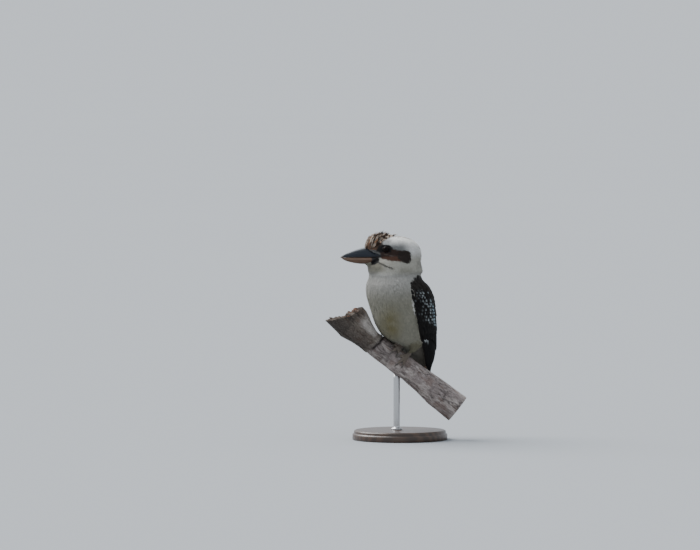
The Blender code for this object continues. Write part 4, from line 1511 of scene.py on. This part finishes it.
def makeWing(side, name):
    coat = Coat(name, darkPaint, "dark_feather")

    def addFlight(kind, lifts, steps, halves, coloursOf):
        lines, ups = wingLines(side, starts, ends, lifts, steps)
        addVanes(coat, kind, lines, ups, np.broadcast_to(halves, len(lines)), coloursOf)

    def primaryColours(plan, rows):
        along, across = plan["along"], plan["across"]
        outer = np.sign(side) * across > -0.1
        level = starts[rows, 1][:, None] + (ends[rows, 1] - starts[rows, 1])[:, None] * along[None]
        marked = (rows == 1)[:, None] | ((rows == 2)[:, None] & outer)
        patch = ease(199, 196, level) * ease(179.5, 182, level) * marked
        rim = ease(0.7, 1.0, np.abs(across)) * outer
        base = tint(shadeOf("black") * 1.25, quills["primaryRim"], rim[None] * 0.5)
        return tint(base, quills["patch"], patch * (0.85 + 0.15 * np.sin(across * 9)))

    def secondaryColours(plan, rows):
        rim = ease(0.72, 1.0, np.abs(plan["across"])) * (np.sign(side) * plan["across"] < 0)
        return tint(shadeOf("black") * 1.1, quills["secondaryRim"], rim[None] * 0.7)

    # primaries, from the outermost in, then secondaries over them
    part = np.arange(quills["primaries"]) / (quills["primaries"] - 1)
    starts = pairs(0.03 + 0.30 * part, 226.0 - 3 * part)
    ends = pairs(0.06 + 0.52 * part, 116.5 + 26 * part**1.4)
    addFlight("quill", pairs(-2.6 + 1.9 * part, -0.9 + 0.9 * part), 12, 4.6 + 0.6 * part, primaryColours)
    part = np.arange(quills["secondaries"]) / (quills["secondaries"] - 1)
    starts = pairs(0.10 + 0.82 * part, 232.0 + 6 * part)
    ends = pairs(0.17 + 0.70 * part, 190.5 - 34 * part**0.8 + 10 * np.maximum(0, part - 0.7))
    addFlight("quill", pairs(-1.4 + 0.5 * part, 0.1 + 0.9 * part), 10, 6.2, secondaryColours)
    # long primary coverts along the front edge
    order = np.arange(quills["coverts"])
    starts, ends = pairs(0.02 + 0.055 * order, 236.0), pairs(0.045 + 0.06 * order, 197.5 - 1.2 * order)
    lifts = pairs(-0.7 + 0 * order, 0.5)
    addFlight("covert", lifts, 8, 4.2, lambda plan, rows: shadeOf("black") * 0.95)
    # rows of coverts, lowest first
    for kind in ("greater", "median", "lesser"):
        starts, ends, lifts, half = rowOfFeathers(kind)
        count = len(starts)
        base, tip, spot, edge = wingPattern(ends)
        spot = spot * (0.35 if kind == "greater" else 1)
        lifts[:, 1] += chance.normal(0, 0.18, count)
        lines, ups = wingLines(side, starts, ends, lifts, 7)
        halves = half * chance.uniform(0.92, 1.08, count)
        lean, sides = chance.choice((-0.35, 0.0, 0.35), count), sidesOf(lines, ups)
        addVanes(coat, "covert", lines, ups, halves, lambda plan, rows: spotted(
            plan, planted(plan, lines[rows], sides[rows], ups[rows], halves[rows]),
            spot[rows], edge[rows], base[rows], tip[rows], lean[rows]))
    # broad inner feathers, then plain shoulder feathers over the back of the wing
    order = np.arange(quills["inner"])
    starts = pairs(0.74 + (0.98 - 0.74) * order / (quills["inner"] - 1), 262.0 - 8 * order)
    ends = starts - np.array((0.04, 1.0)) * np.array((1.0, 62))
    addFlight("quill", pairs(-0.2 + 0 * order, 1.9), 9, 7.0, lambda plan, rows: shadeOf("mantle"))
    starts, ends, lifts, half = rowOfFeathers("scapular", 0.52, 1.02)
    lifts[:, 1] += chance.normal(0, 0.2, len(starts))
    shade = 1 + chance.normal(0, 0.12, len(starts))

    def plainColours(plan, rows):
        edge = 1 + 0.55 * ease(0.6, 1.0, np.abs(plan["across"])) * ease(0.3, 0.7, plan["along"])
        return shadeOf("mantle") * shade[rows][:, None, None] * edge[None, :, None]

    addFlight("covert", lifts, 7, half, plainColours)
    coat.build()


def makeTail():
    # twelve feathers, the middle pair on top, the outer ones shorter and underneath
    coat = Coat("tail_feathers", rufousPaint, "rufous_feather")
    lines, ups, halves = [], [], []
    for order in range(12):
        rank, side = order // 2, 1 if order % 2 else -1
        level = np.linspace(186, 54.0 + 0.9 * rank**1.5, 16)
        forward, wide, thick = (readRows(tailTable, level, part) for part in (1, 2, 3))
        left = side * (0.06 + 0.13 * rank + 0.01 * side) * wide * np.linspace(0.75, 1.0, 16)
        # the topmost pair lies at the back, away from the belly
        layer = -0.8 * thick + (rank + 0.5 * (side > 0)) * thick * 0.27
        lines.append(trunk.point(forward + layer + (left / 12.5) ** 2, left, level))
        ups.append(unit(trunk.point(forward - 1, left * 1.02, level) - trunk.point(forward, left, level)))
        halves.append(7.2 - 0.1 * rank)
    lines, ups, halves = np.array(lines), np.array(ups), np.array(halves)

    def barred(plan, rows):
        along, across = plan["along"], np.abs(plan["across"])
        rank = (rows // 2)[:, None]
        length = np.linalg.norm(np.diff(lines[rows], axis=1), axis=2).sum(1)[:, None] * (1 - along[None])
        wave = np.cos((length - 13) * 2 * pi / 11.5 + across[None] * 0.9)
        white = ease(12.5, 9.5, length) + 0.55 * ease(3, 5, rank) * ease(0.1, 0.8, across)[None]
        colours = tint("rufous", (0.58, 0.55, 0.50), np.clip(white, 0, 1))
        return tint(colours, "black", ease(0.05, 0.45, wave) * ease(11, 14, length) * 0.92)

    addVanes(coat, "tail", lines, ups, halves, barred)
    coat.build()


crest = {
    "count": 1900,
    "locks": 210,
    # how steeply feathers rise at the bill and at the back
    "lean": (radians(60), radians(20)),
    "base": 357.0,
    "orange": (0.34, 0.175, 0.095),
    "cream": (0.52, 0.44, 0.36),
    "dark": (0.030, 0.018, 0.013),
}


def makeCrest():
    # loose upswept feathers on the forehead, in locks of dark brown, rufous and cream
    coat, tops = Coat("coat_crest", crestPaint, "rufous_feather"), body["crest"][::-1]
    count, locks = crest["count"], crest["locks"]
    forward = 53 - 54 * chance.random(count) ** 1.2
    aside = chance.uniform(-1.15, 1.15, count)
    lockF, lockA = 54 - 56 * chance.random(locks) ** 1.2, chance.uniform(-1.15, 1.15, locks)
    lock = np.argmin((forward[:, None] - lockF) ** 2 + ((aside[:, None] - lockA) * 13) ** 2, axis=1)
    left = readRows(tops, forward, 2) * aside
    roots, normals = snapped(head.point(forward, left, headTop(forward, left)))
    rootF, rootL, rootH = head.read(roots)
    # how far each can go up and back before it meets the crest's outline
    reach = np.linspace(2, 34, 33)
    lean = crest["lean"][1] + (crest["lean"][0] - crest["lean"][1]) * ease(2, 40, rootF)
    lean = lean + chance.normal(0, 0.13, locks)[lock] + chance.normal(0, 0.05, count)
    tipF = rootF[:, None] - reach * np.cos(lean)[:, None]
    tipH = rootH[:, None] + reach * np.sin(lean)[:, None]
    across = np.clip(np.abs(rootL)[:, None] / np.maximum(readRows(tops, tipF, 2), 1), 0, 0.97)
    tall = crest["base"] + (readRows(tops, tipF) - crest["base"]) * (1 - across**2.2) ** (1 / 2.2)
    length = np.array([reach[row].max() if row.any() else 3.0 for row in tipH < tall])
    lockTall = chance.uniform(0.75, 1.16, locks)
    length = np.clip(length * lockTall[lock] * chance.uniform(0.6, 1.05, count), 4, 29)
    run = unit(np.sin(lean)[:, None] * (0, 0, 1) - np.cos(lean)[:, None] * head.ahead)
    tips = roots + run * length[:, None]
    # the tips of a lock draw together
    middle = np.stack([np.bincount(lock, tips[:, part], locks) for part in range(3)], axis=1)
    middle = middle / np.maximum(np.bincount(lock, minlength=locks), 1)[:, None]
    tips = tint(tips, middle[lock], 0.30)
    bend = tint(roots, tips, 0.5) + normals * (length * 0.10)[:, None] + head.ahead * (length * 0.07)[:, None]
    part = np.linspace(0, 1, 7)[None, :, None]
    lines = (1 - part) ** 2 * (roots - normals)[:, None] + 2 * part * (1 - part) * bend[:, None]
    lines = lines + part**2 * tips[:, None]
    runs, over = unit(np.gradient(lines, axis=1)), normals[:, None] * 0.8 + head.ahead * 0.5
    ups = unit(over - runs * np.sum(over * runs, axis=2, keepdims=True))
    # dark beside the eye and behind, rufous on top, streaked with cream in front
    pick = chance.random(locks)[lock] + chance.normal(0, 0.12, count)
    behind = ease(22, 12, rootF) * ease(358, 364, rootH)
    pick = pick * (1 - behind) + behind * np.where(pick > 0.45, 0.95, 0.05)
    dim = ease(368, 360, rootH) * ease(42, 34, rootF) * (1 - behind)
    pick = pick + 0.06 - 0.60 * dim + 0.04 * ease(36, 48, rootF)
    shade = chance.uniform(0.75, 1.25, count) * (1 + 0.7 * behind)

    def crestColours(plan, rows):
        along, across, share = plan["along"], np.abs(plan["across"]), pick[rows]
        brown = tint(crest["dark"], "crest", ease(0.0, 0.35, share))
        outer = tint(brown, crest["orange"], ease(0.36, 0.48, share))
        outer = tint(outer, crest["cream"], ease(0.68, 0.80, share))
        mask = np.clip(ease(0.1, 0.6, across) + ease(0.6, 1.0, along) * 0.6, 0, 1) * ease(0.1, 0.5, along)
        colours = tint(brown[:, None, :], outer[:, None, :], mask[None])
        return colours * shade[rows][:, None, None] * (1 - 0.45 * ease(0.4, 0.0, along))[None, :, None]

    addVanes(coat, "crest", lines, ups, chance.uniform(0.9, 1.7, count), crestColours)
    coat.build()


makeWing(1, "wing_left_feathers")
makeWing(-1, "wing_right_feathers")
makeTail()
makeCrest()


# eyes, bill and claws

eyePaint = Paint("wet dark eye", {"Coat Roughness": 0.03, "IOR": 1.36, "Specular IOR Level": 0.04})
glow = eyePaint.noise(eyePaint.place(), 1500.0, 2.0)
eyeMaterial = eyePaint.finish(
    Base_Color=eyePaint.mix(glow.between(0.3, 0.8) * 0.3, eyePaint.painted(), (0.010, 0.006, 0.005)),
    Roughness=glow * 0.04 + 0.04,
    Coat_Weight=glow * 0.08 + 0.04,
)


def makeEye(side, name, node):
    # a dark brown iris round a wide pupil, under a clear bulge
    centre, turns = head.point(eye["forward"], side * eyeLeft, eye["height"]), turnsOf(64)
    outward = unit(head.aside * side + head.ahead * 0.10 + np.array((0, 0, 0.02)))
    across = unit(np.cross(outward, (0, 0, 1)))
    circle = np.outer(np.cos(turns), across) + np.outer(np.sin(turns), np.cross(across, outward))
    rings, colours = [], []
    for tilt in np.concatenate((np.linspace(0.004, 1.1, 40), np.linspace(1.14, pi - 0.01, 22))):
        radius = eye["radius"] - 0.15 + 0.45 * ease(0.85, 0.2, tilt)
        rings.append(centre + outward * radius * cos(tilt) + radius * sin(tilt) * circle)
        fibres = 0.8 + 0.2 * np.sin(turns * 21 + 3 * np.sin(turns * 5 + tilt * 9))
        iris = np.outer(fibres, (0.012, 0.0065, 0.0045)) * (0.55 + 0.6 * ease(0.45, 0.75, tilt))
        colour = tint(0.0025, iris, ease(0.40, 0.44, tilt))
        colours.append(tint(colour, (0.006, 0.005, 0.005), ease(0.78, 0.84, tilt)))
    piece = pieceFrom(name, *lofted(rings))
    paintPoints(piece.data, np.concatenate(colours))
    given(piece, eyeMaterial, "eye", (node,))


bill = {
    # forward, culmen height, underside height, half width
    "rows": (
        (97, 340.3, 337.2, 1.0), (94.5, 342.2, 335.0, 2.5), (88, 345.4, 331.9, 4.9), (78, 349.5, 329.2, 7.3),
        (68, 353.0, 327.4, 9.4), (58, 355.8, 326.4, 11.4), (50, 357.2, 326.4, 13.0), (44, 357.4, 326.8, 14.6),
        (38, 356.2, 327.9, 16.4), (32, 353.0, 330.0, 18.2),
    ),
    "mouth": 338.6,
    "gap": 0.22,
    "lowerShort": 2.4,
    "nostril": (41.5, 349.6),
    # colours of the upper half, then of the lower one
    "slate": (0.0125, 0.017, 0.0245),
    # a painted highlight along the culmen
    "ridge": (0.24, 0.255, 0.275),
    "cutting": (0.10, 0.055, 0.035),
    "upperTip": (0.16, 0.14, 0.12),
    # painted shade in the nostril's opening
    "hole": (0.006, 0.006, 0.007),
    "horn": (0.108, 0.062, 0.038),
    # painted shade along the underside of the lower half
    "keel": (0.07, 0.045, 0.032),
    "lip": (0.26, 0.17, 0.12),
    "lowerTip": (0.12, 0.085, 0.07),
    "root": (0.022, 0.020, 0.020),
}


def fromNostril(forward, height, long, tall):
    # distance from the nostril's middle, 1 at its ends
    middle, level = bill["nostril"]
    return np.hypot((forward - middle) / long, (height - level - 0.25 * (forward - 41)) / tall)


def billRings(upper, count=41, rows=110):
    # sections flat at the mouth, with a soft ridge above or a keel below
    rings, angle = [], np.linspace(0, pi, count)
    power = 1.62 if upper else 2.0
    side, rise = np.cos(angle), np.sin(angle)
    size = (np.abs(side) ** power + rise ** power) ** (-1 / power)
    side, rise = side * size, rise * size
    for forward, ridge, keel, wide in softRows(bill["rows"], rows):
        mouth = bill["mouth"] + 0.70 * ease(60, 30, forward) + (bill["gap"] if upper else -bill["gap"])
        tipDrop = 1.3 * ease(90, 97, forward) * upper
        reach = (ridge if upper else keel) - mouth
        if not upper:
            forward = forward - bill["lowerShort"] * max(0, forward - 32) / 65
            wide = wide * 0.93
        # the cutting edges turn in a little below the widest line
        height = mouth + rise * reach - tipDrop * (1 - 0.3 * rise)
        left = side * wide * (1 - 0.10 * ease(0.16, 0.0, rise))
        if upper:
            left = left - np.sign(left) * 1.3 * ease(1.3, 0.4, fromNostril(forward, height, 3.4, 0.8))
            groove = ease(1.0, 0.2, np.abs(height - (349.0 - 0.075 * (forward - 41))) / 1.1)
            left = left - np.sign(left) * 0.28 * groove * ease(36, 46, forward) * ease(84, 60, forward)
        rings.append(head.point(np.full(count, float(forward)), left, height))
    return rings


def upperColours(forward, height, _):
    rise = height - bill["mouth"]
    reach = np.maximum(readRows(bill["rows"][::-1], forward) - bill["mouth"], 1)
    return layered(
        # a painted highlight along the culmen over the slate
        bill["slate"], (bill["ridge"], ease(0.84, 0.98, rise / reach) * 0.6),
        (bill["cutting"], ease(1.5, 0.2, rise) * 0.7), (bill["upperTip"], ease(90, 97, forward) * 0.5),
        # painted shade in the nostril's opening
        (bill["hole"], ease(1.3, 0.7, fromNostril(forward, height, 3.0, 0.9))),
    )


def lowerColours(forward, height, streak):
    return layered(
        # the keel's painted shade darkens the underside
        bill["horn"], (bill["keel"], ease(331, 327, height) * 0.7),
        (bill["lip"], ease(2.4, 1.0, np.abs(height - 336.4)) * 0.5),
        (bill["lowerTip"], ease(86, 96, forward) * 0.8),
        (bill["root"], ease(42.5, 39.5, forward + streak * 0.8 + 0.1 * (338 - height))),
    )


def makeBillHalf(upper, name, node, slot):
    piece = pieceFrom(name, *lofted(billRings(upper)))
    points = pointsOf(piece.data)
    forward, _, height = head.read(points)
    streak = ripple(points * (0.25, 1, 1), 1.6, 31)
    colours = (upperColours if upper else lowerColours)(forward, height, streak)
    paintPoints(piece.data, np.clip(colours * (1 + 0.16 * streak)[:, None], 0, 1))
    paint = Paint(name.replace("_", " "), {"Specular IOR Level": 0.22})
    grain = paint.noise(paint.stretched((1.0, 4.0, 4.0), (0, 0, -head.turn)), 190.0, 5.0)
    fine = paint.noise(paint.place(), 1400.0, 3.0)
    material = paint.finish(
        Base_Color=paint.mix(grain.between(0.35, 0.75) * 0.2, paint.painted(), (0.04, 0.037, 0.036)),
        Roughness=(grain * 0.3 + fine * 0.12 + 0.14).clipped(),
        Normal=paint.bump(grain * 0.7 + fine * 0.3, 0.4, 0.0003),
    )
    given(piece, material, slot, (node,))


def clawLine(side, name, steps=18):
    splay, length, _, thin, claw = feet["toes"][name]
    centres, radii = [], []
    for part in np.linspace(0, 1, steps):
        radius = 1.75 * (1 - part) ** 0.8 + 0.12
        rise = thin * (1 - part) ** 1.2 + radius * part + 1.5 * sin(pi * part)
        distance = length + feet["clawGap"] + claw * part
        centres.append(toePoint(side, splay, distance, max(rise, radius) - 0.25))
        radii.append(radius)
    return np.array(centres), radii


def makeClaws():
    paint = Paint("claw horn", {"Specular IOR Level": 0.5})
    grain = paint.noise(paint.place(), 900.0, 4.0)
    material = paint.finish(
        Base_Color=paint.mix(grain.between(0.3, 0.75) * 0.5, paint.painted(), (0.10, 0.085, 0.07)),
        Roughness=grain * 0.25 + 0.2,
        Normal=paint.bump(grain, 0.3, 0.0002),
    )
    for side in ("left", "right"):
        shapes, colours = [], []
        for name in feet["toes"]:
            centres, radii = clawLine(side, name)
            shapes.append(lofted(tubeRings(centres, radii, 14)))
            share = np.repeat(np.linspace(0, 1, len(radii)), 14)
            colours.append(tint((0.085, 0.070, 0.055), (0.014, 0.013, 0.013), share**0.6))
        piece = pieceFrom("claws_" + side, *joined(shapes))
        paintPoints(piece.data, np.concatenate(colours))
        given(piece, material, "claw_horn", [f"claw_{side}_{name}" for name in feet["toes"]])


makeEye(1, "eye_left_ball", "eye_left")
makeEye(-1, "eye_right_ball", "eye_right")
makeBillHalf(True, "bill_upper_horn", "bill_upper", "slate_bill")
makeBillHalf(False, "bill_lower_horn", "bill_lower", "horn_bill")
makeClaws()
print("eyes, bill and claws")


# branch

bark = {
    # sections along it, points round it, rings on the broken face, between its rim and the first whole
    # section, and on the sawn end
    "rows": 330,
    "turns": 200,
    "endRings": 34,
    "rimRings": 26,
    "sawRings": 30,
    "cracks": 0.75,
    "collar": -60.5,
    # broken wood, bark and the sawn end
    "inner": (0.145, 0.118, 0.098),
    "red": (0.22, 0.105, 0.062),
    "char": (0.035, 0.028, 0.024),
    "plain": (0.225, 0.200, 0.190),
    "pale": (0.33, 0.305, 0.285),
    "brown": (0.165, 0.124, 0.106),
    "beyond": (1.07, 1.04, 1.05),
    "before": (0.66, 0.62, 0.56),
    "lip": (0.20, 0.185, 0.165),
    "crack": (0.024, 0.019, 0.017),
    # painted light on the top of the stub
    "paintedLitTop": (0.62, 0.59, 0.56),
    "sawn": (0.36, 0.25, 0.16),
    "growth": (0.22, 0.14, 0.085),
    "rim": (0.10, 0.08, 0.07),
}


def twisted(spot, angle, radius):
    # places for noise that winds round the branch
    return wheel(spot / 2.0 + 0.3 * radius * np.sin(angle), angle, radius)


def collarPlace(angle, turned):
    return bark["collar"] + 3.5 * np.sin(angle + 0.6) + 2.2 * ripple(turned, 9.0, 56)


def barkRelief(spot, angle, radius):
    # how far the surface lies in from the branch's outline, and where cracks run
    around, turned = wheel(spot / 3.4, angle, radius), twisted(spot, angle, radius)
    broad = roughness(turned, 11.0, 51)
    cracks = ease(0.26, 0.04, np.abs(ripple(around, 4.6, 52) + 0.3 * ripple(around, 1.7, 53)))
    cracks *= ease(-0.30, 0.30, ripple(turned, 13.0, 54))
    cross = ease(0.14, 0.0, np.abs(ripple(turned, 8.0, 57) + 0.3 * ripple(turned, 2.6, 58)))
    cracks = np.maximum(cracks, cross * ease(0.0, 0.4, ripple(turned, 15.0, 59)) * 0.7)
    fine = ripple(wheel(spot / 1.5, angle, radius), 1.4, 55)
    rugged = 0.65 + 0.55 * ease(-50, -75, spot)
    relief = 0.55 + 0.42 * broad + bark["cracks"] * cracks * rugged + 0.16 * fine
    # the old collar: a dark step across the branch
    past = spot - collarPlace(angle, turned)
    groove = 0.15 + 0.85 * ease(-0.2, 0.6, np.sin(angle)) * ease(-0.75, -0.35, np.cos(angle))
    relief = relief + 3.0 * groove * np.exp(-((past - 2.2) / 2.2) ** 2)
    relief = relief + 0.9 * np.exp(-np.clip(past, 0, None) / 12) * (past > 0)
    relief = relief - 0.9 * np.exp(-((past + 2.6) / 2.6) ** 2)
    cracks = np.maximum(cracks, groove * np.exp(-((past - 2.3) / 2.7) ** 2))
    for side in ("left", "right"):
        place, turn, _ = feet[side]
        away = np.hypot(spot - place, (np.angle(np.exp(1j * (angle - radians(turn - 6))))) * 22)
        relief = relief * (0.35 + 0.65 * ease(16, 34, away))
    return np.clip(relief, 0.02, 4.0), cracks


def breakPlace(rise):
    # where the broken face lies along the branch, from its lower rim to its upper one
    middle = (branch["breakTop"] + branch["breakFoot"]) / 2
    return middle + rise * (branch["breakTop"] - branch["breakFoot"]) / 2


def brokenFace(turns):
    # rings and colours of the broken end, long splinters along the grain
    for share in np.linspace(0.02, 1.0, bark["endRings"]):
        radius = branchRadius(breakPlace(np.cos(turns) * share), turns) * share
        across = upright(0 * turns, turns, radius)
        fibre = ripple(across, 2.6, 61) * 3.4 + ripple(across, 1.2, 62) * 2.2 + ripple(across, 7.0, 63) * 5.0
        spot = breakPlace(np.cos(turns) * share) - fibre * ease(1.02, 0.8, share) * 0.9 - fibre * 0.25
        reddish = ease(-0.1, 0.5, ripple(across, 9.0, 64)) * ease(-0.25, 0.35, np.cos(turns) * share)
        tone = tint(bark["inner"], bark["red"], reddish)
        char = ease(0.35, 0.95, share * (0.6 + 0.4 * np.cos(turns)))
        char = char * ease(-0.4, 0.4, ripple(across, 6.0, 65)) + 0.35 * (share > 0.9)
        tone = tint(tone, bark["char"], np.clip(char, 0, 0.9))
        ring = branchPoint(spot, turns, radius - 0.4 * (share > 0.97))
        yield ring, tone * (1 + 0.25 * ripple(across, 0.9, 66))[:, None]


def barkRings(turns):
    # from the broken rim to the first whole section, then along the branch
    edge, start = upright(0 * turns, turns, 24), branch["first"]
    rim = breakPlace(np.cos(turns)) - ripple(edge, 2.6, 61) * 0.85 - ripple(edge, 7.0, 63) * 1.25
    whole = np.linspace(start, branch["rows"][-1, 0], bark["rows"])
    places = [rim + (start - rim) * part for part in np.linspace(0.03, 0.97, bark["rimRings"])]
    for spot in places + [spot + 0 * turns for spot in whole]:
        radius = branchRadius(spot, turns)
        relief, cracks = barkRelief(spot, turns, radius)
        around = wheel(spot / 2.5, turns, radius)
        tone = layered(
            bark["plain"], (bark["pale"], ease(-0.3, 0.5, roughness(around, 8.0, 67))),
            (bark["brown"], ease(0.1, 0.6, ripple(around, 5.0, 68)) * 0.6),
        )
        # pinkish grey beyond the collar, browner before it, with a pale lip between
        past = spot - collarPlace(turns, twisted(spot, turns, radius))
        tone = tone * tint(bark["beyond"], bark["before"], ease(2, -4, past))
        # before the collar, painted light and shade: lighter on top and darker underneath, and darker towards
        # the broken end
        before = (0.90 + 0.40 * np.cos(turns)) * (1 - 0.35 * ease(-112, -118, spot))
        tone = tone * (1 + 0.4 * ease(-24, -12, spot) + (before - 1) * ease(2, -4, past))[:, None]
        lip = 0.6 * ease(-9.5, -5.5, past) * ease(1.0, -1.5, past) * ease(-0.7, -0.2, np.cos(turns))
        # painted light: the top of the stub is painted paler, where light falls on it
        paintedLitTop = ease(0.30, 0.75, np.cos(turns)) * ease(-62, -72, spot)
        paintedLitTop = paintedLitTop * ease(-1.2, -0.3, roughness(around, 6.0, 71))
        tone = layered(
            tone, (bark["lip"], lip),
            (bark["crack"], np.clip(cracks, 0, 1) * np.where(np.abs(past - 2.3) < 4.5, 0.92, 0.6)),
            (bark["paintedLitTop"], paintedLitTop * 0.85 * ease(-112, -96, spot)),
        )
        yield branchPoint(spot, turns, radius - relief), tone * (1 + 0.2 * ripple(around, 1.1, 69))[:, None]


def sawnEnd(turns):
    # the lower end, with growth rings
    end = branch["rows"][-1, 0]
    for share in np.linspace(0.985, 0.02, bark["sawRings"]):
        radius = branchRadius(end + 0 * turns, turns) * share
        saw = 0.06 * np.sin((radius * np.cos(turns + 0.5)) * 5.0)
        growth = ripple(np.stack((radius, turns * 3, 0 * turns), -1), 4.0, 70)
        growth = 0.5 + 0.5 * np.sin(radius * 4.2 + growth * 2)
        tone = tint(tint(bark["sawn"], bark["growth"], growth * 0.7), bark["rim"], ease(0.90, 0.96, share))
        yield branchPoint(end + 0.25 + saw, turns, radius - 0.4), tone


def makeBranch():
    turns = turnsOf(bark["turns"])
    rings, colours = zip(*brokenFace(turns), *barkRings(turns), *sawnEnd(turns))
    piece = pieceFrom("perch_bark", *lofted(rings))
    paintPoints(piece.data, np.clip(np.concatenate(colours), 0, 1))
    paint = Paint("grey bark", {"Specular IOR Level": 0.2})
    grain = paint.noise(paint.stretched((0.3, 1.0, 1.0), (0, -branch["slope"], 0)), 620.0, 6.0, 0.65)
    grit = paint.noise(paint.place(), 1300.0, 4.0, 0.6)
    dark = paint.mix(1.0, paint.painted(), (0.62, 0.59, 0.57), "MULTIPLY")
    tone = paint.mix(grain.between(0.38, 0.72), dark, paint.painted())
    material = paint.finish(
        Base_Color=paint.mix(paint.cells(380.0).between(0.45, 0.15) * 0.12, tone, (0.30, 0.29, 0.27)),
        Roughness=(grain * 0.2 + 0.72).clipped(),
        Normal=paint.bump(grain * 0.6 + grit * 0.4, 0.75, 0.0011),
    )
    given(piece, material, "bark", ("perch",))


makeBranch()
print("branch")


# stand

stand = {
    "top": 18.0,
    # radius and height up the turned edge
    "edge": (
        (86.6, 0.0), (88.0, 1.2), (88.0, 9.5), (87.2, 10.9), (85.6, 11.6), (85.2, 12.4), (85.4, 14.5),
        (84.6, 16.6), (82.6, 17.8), (80.5, 18.0),
    ),
    # the rod's place, its turned foot, and how far it goes up inside the branch
    "rodPlace": (-6.0, 0.0),
    "rodFoot": (
        (1.0, 18.2), (9.8, 18.2), (10.4, 18.6), (10.4, 20.4), (9.6, 21.2), (7.2, 21.8), (6.0, 23.0),
    ),
    "rodRadius": 6.0,
    "underBranch": 21.5,
    "rodIn": 3.0,
}


def turnedShape(profile, count, centre=(0.0, 0.0)):
    turns = turnsOf(count)
    return lofted([upright(float(height), turns, radius) + (*centre, 0.0) for radius, height in profile])


def makeStand():
    profile = [(radius, 0.0) for radius in (2, 40, 84)] + list(stand["edge"])
    profile += [(radius, stand["top"]) for radius in (79, 60, 30, 8, 1)]
    base = pieceFrom("stand_base_turned", *turnedShape(profile, 160))
    paint = Paint("dark stained wood", {"Specular IOR Level": 0.45, "Coat Roughness": 0.25})
    wave = paint.node("ShaderNodeTexWave", {"wave_type": "BANDS", "bands_direction": "Y"}, {
        "Vector": paint.stretched((0.25, 1.0, 1.0)),
        "Scale": 30.0, "Distortion": 2.2, "Detail": 3.0, "Detail Scale": 1.5,
    })
    fine = paint.noise(paint.stretched((1.0, 9.0, 9.0)), 120.0, 5.0)
    grain = (wave * 0.5 + fine * 0.5).between(0.3, 0.75)
    material = paint.finish(
        Base_Color=paint.mix(grain, (0.036, 0.020, 0.012), (0.066, 0.036, 0.021)),
        Roughness=(fine * 0.25 + 0.28).clipped(),
        Normal=paint.bump(fine * 0.6 + wave * 0.4, 0.25, 0.0003),
        Coat_Weight=fine * 0.2 + 0.2,
    )
    given(base, material, "base_wood", ("stand_base",))
    middle = branch["axis"][2] - stand["rodPlace"][0] * tan(branch["slope"])
    top = middle - stand["underBranch"] / cos(branch["slope"]) + stand["rodIn"]
    profile = list(stand["rodFoot"])
    profile += [(stand["rodRadius"], float(height)) for height in np.linspace(26, top, 12)] + [(1.0, top)]
    rod = pieceFrom("stand_rod_turned", *turnedShape(profile, 64, stand["rodPlace"]))
    paint = Paint("brushed steel", {"Metallic": 1.0})
    brushed = paint.noise(paint.stretched((1.0, 1.0, 60.0)), 60.0, 4.0)
    smudge = paint.noise(paint.place(), 60.0, 3.0)
    material = paint.finish(
        Base_Color=paint.mix(brushed, (0.48, 0.48, 0.49), (0.62, 0.62, 0.62)),
        Roughness=(brushed * 0.18 + smudge * 0.15 + 0.18).clipped(),
        Normal=paint.bump(brushed, 0.2, 0.0001),
    )
    given(rod, material, "rod_steel", ("stand_rod",))


makeStand()
print("stand")


# floor, light and camera

studio = {
    "sky": (0.80, 0.86, 0.93),
    "skyStrength": 0.92,
    "sun": 5.6,
    "sunSize": radians(55),
    "sunFrom": (-0.54, 0.30, 0.79),
    "camera": (-0.0925, -9.989, 0.776),
    "pitch": radians(2.7),
    "lens": 278.0,
    # metres
    "floorRings": (0.0, 2.0, 8.0, 20.0, 55.0),
}


def linked(name, data):
    made = bpy.data.objects.new(name, data)
    bpy.context.scene.collection.objects.link(made)
    return made


def makeFloor():
    # a wide floor, so that every side has the same plain ground

    def spun(work):
        line = [work.verts.new((radius, 0, 0)) for radius in studio["floorRings"]]
        edges = [work.edges.new(pair) for pair in zip(line[:-1], line[1:])]
        bmesh.ops.spin(work, geom=line + edges, cent=(0, 0, 0), axis=(0, 0, 1), angle=2 * pi, steps=96)
        bmesh.ops.remove_doubles(work, verts=work.verts, dist=0.0001)
        bmesh.ops.recalc_face_normals(work, faces=work.faces)

    mesh = bpy.data.meshes.new("floor")
    reshaped(mesh, spun)
    # the floor sends back as much light as the sky, so that it meets it without a line
    direct = studio["sun"] * studio["sunFrom"][2] / np.linalg.norm(studio["sunFrom"]) / pi
    sky = np.array(studio["sky"]) * studio["skyStrength"]
    tone = sky / (sky + direct)
    paint = Paint("pale floor", {"Roughness": 1.0, "Specular IOR Level": 0.0})
    shade = paint.noise(paint.place(), 0.6, 2.0)
    mesh.materials.append(paint.finish(Base_Color=paint.mix(shade, tuple(tone * 0.99), tuple(tone * 1.01))))
    floor = placedPiece("floor", mesh)


def makeStudio():
    # a soft sky, one broad light and the camera
    world = bpy.data.worlds.new("soft sky")
    world.use_nodes = True
    background = world.node_tree.nodes["Background"]
    background.inputs[0].default_value = (*studio["sky"], 1)
    background.inputs[1].default_value = studio["skyStrength"]
    bpy.context.scene.world = world
    light = bpy.data.lights.new("overcast light", "SUN")
    light.energy, light.angle = studio["sun"], studio["sunSize"]
    lamp = linked("overcast light", light)
    lamp.rotation_mode = "QUATERNION"
    lamp.rotation_quaternion = Vector(studio["sunFrom"]).to_track_quat("Z", "Y")
    view = bpy.data.cameras.new("camera")
    view.lens, view.sensor_width, view.clip_end = studio["lens"], 36.0, 80.0
    camera = linked("camera", view)
    camera.location, camera.rotation_euler = studio["camera"], (pi / 2 - studio["pitch"], 0, 0)
    bpy.context.scene.camera = camera


makeFloor()
makeStudio()
print("floor, light and camera")
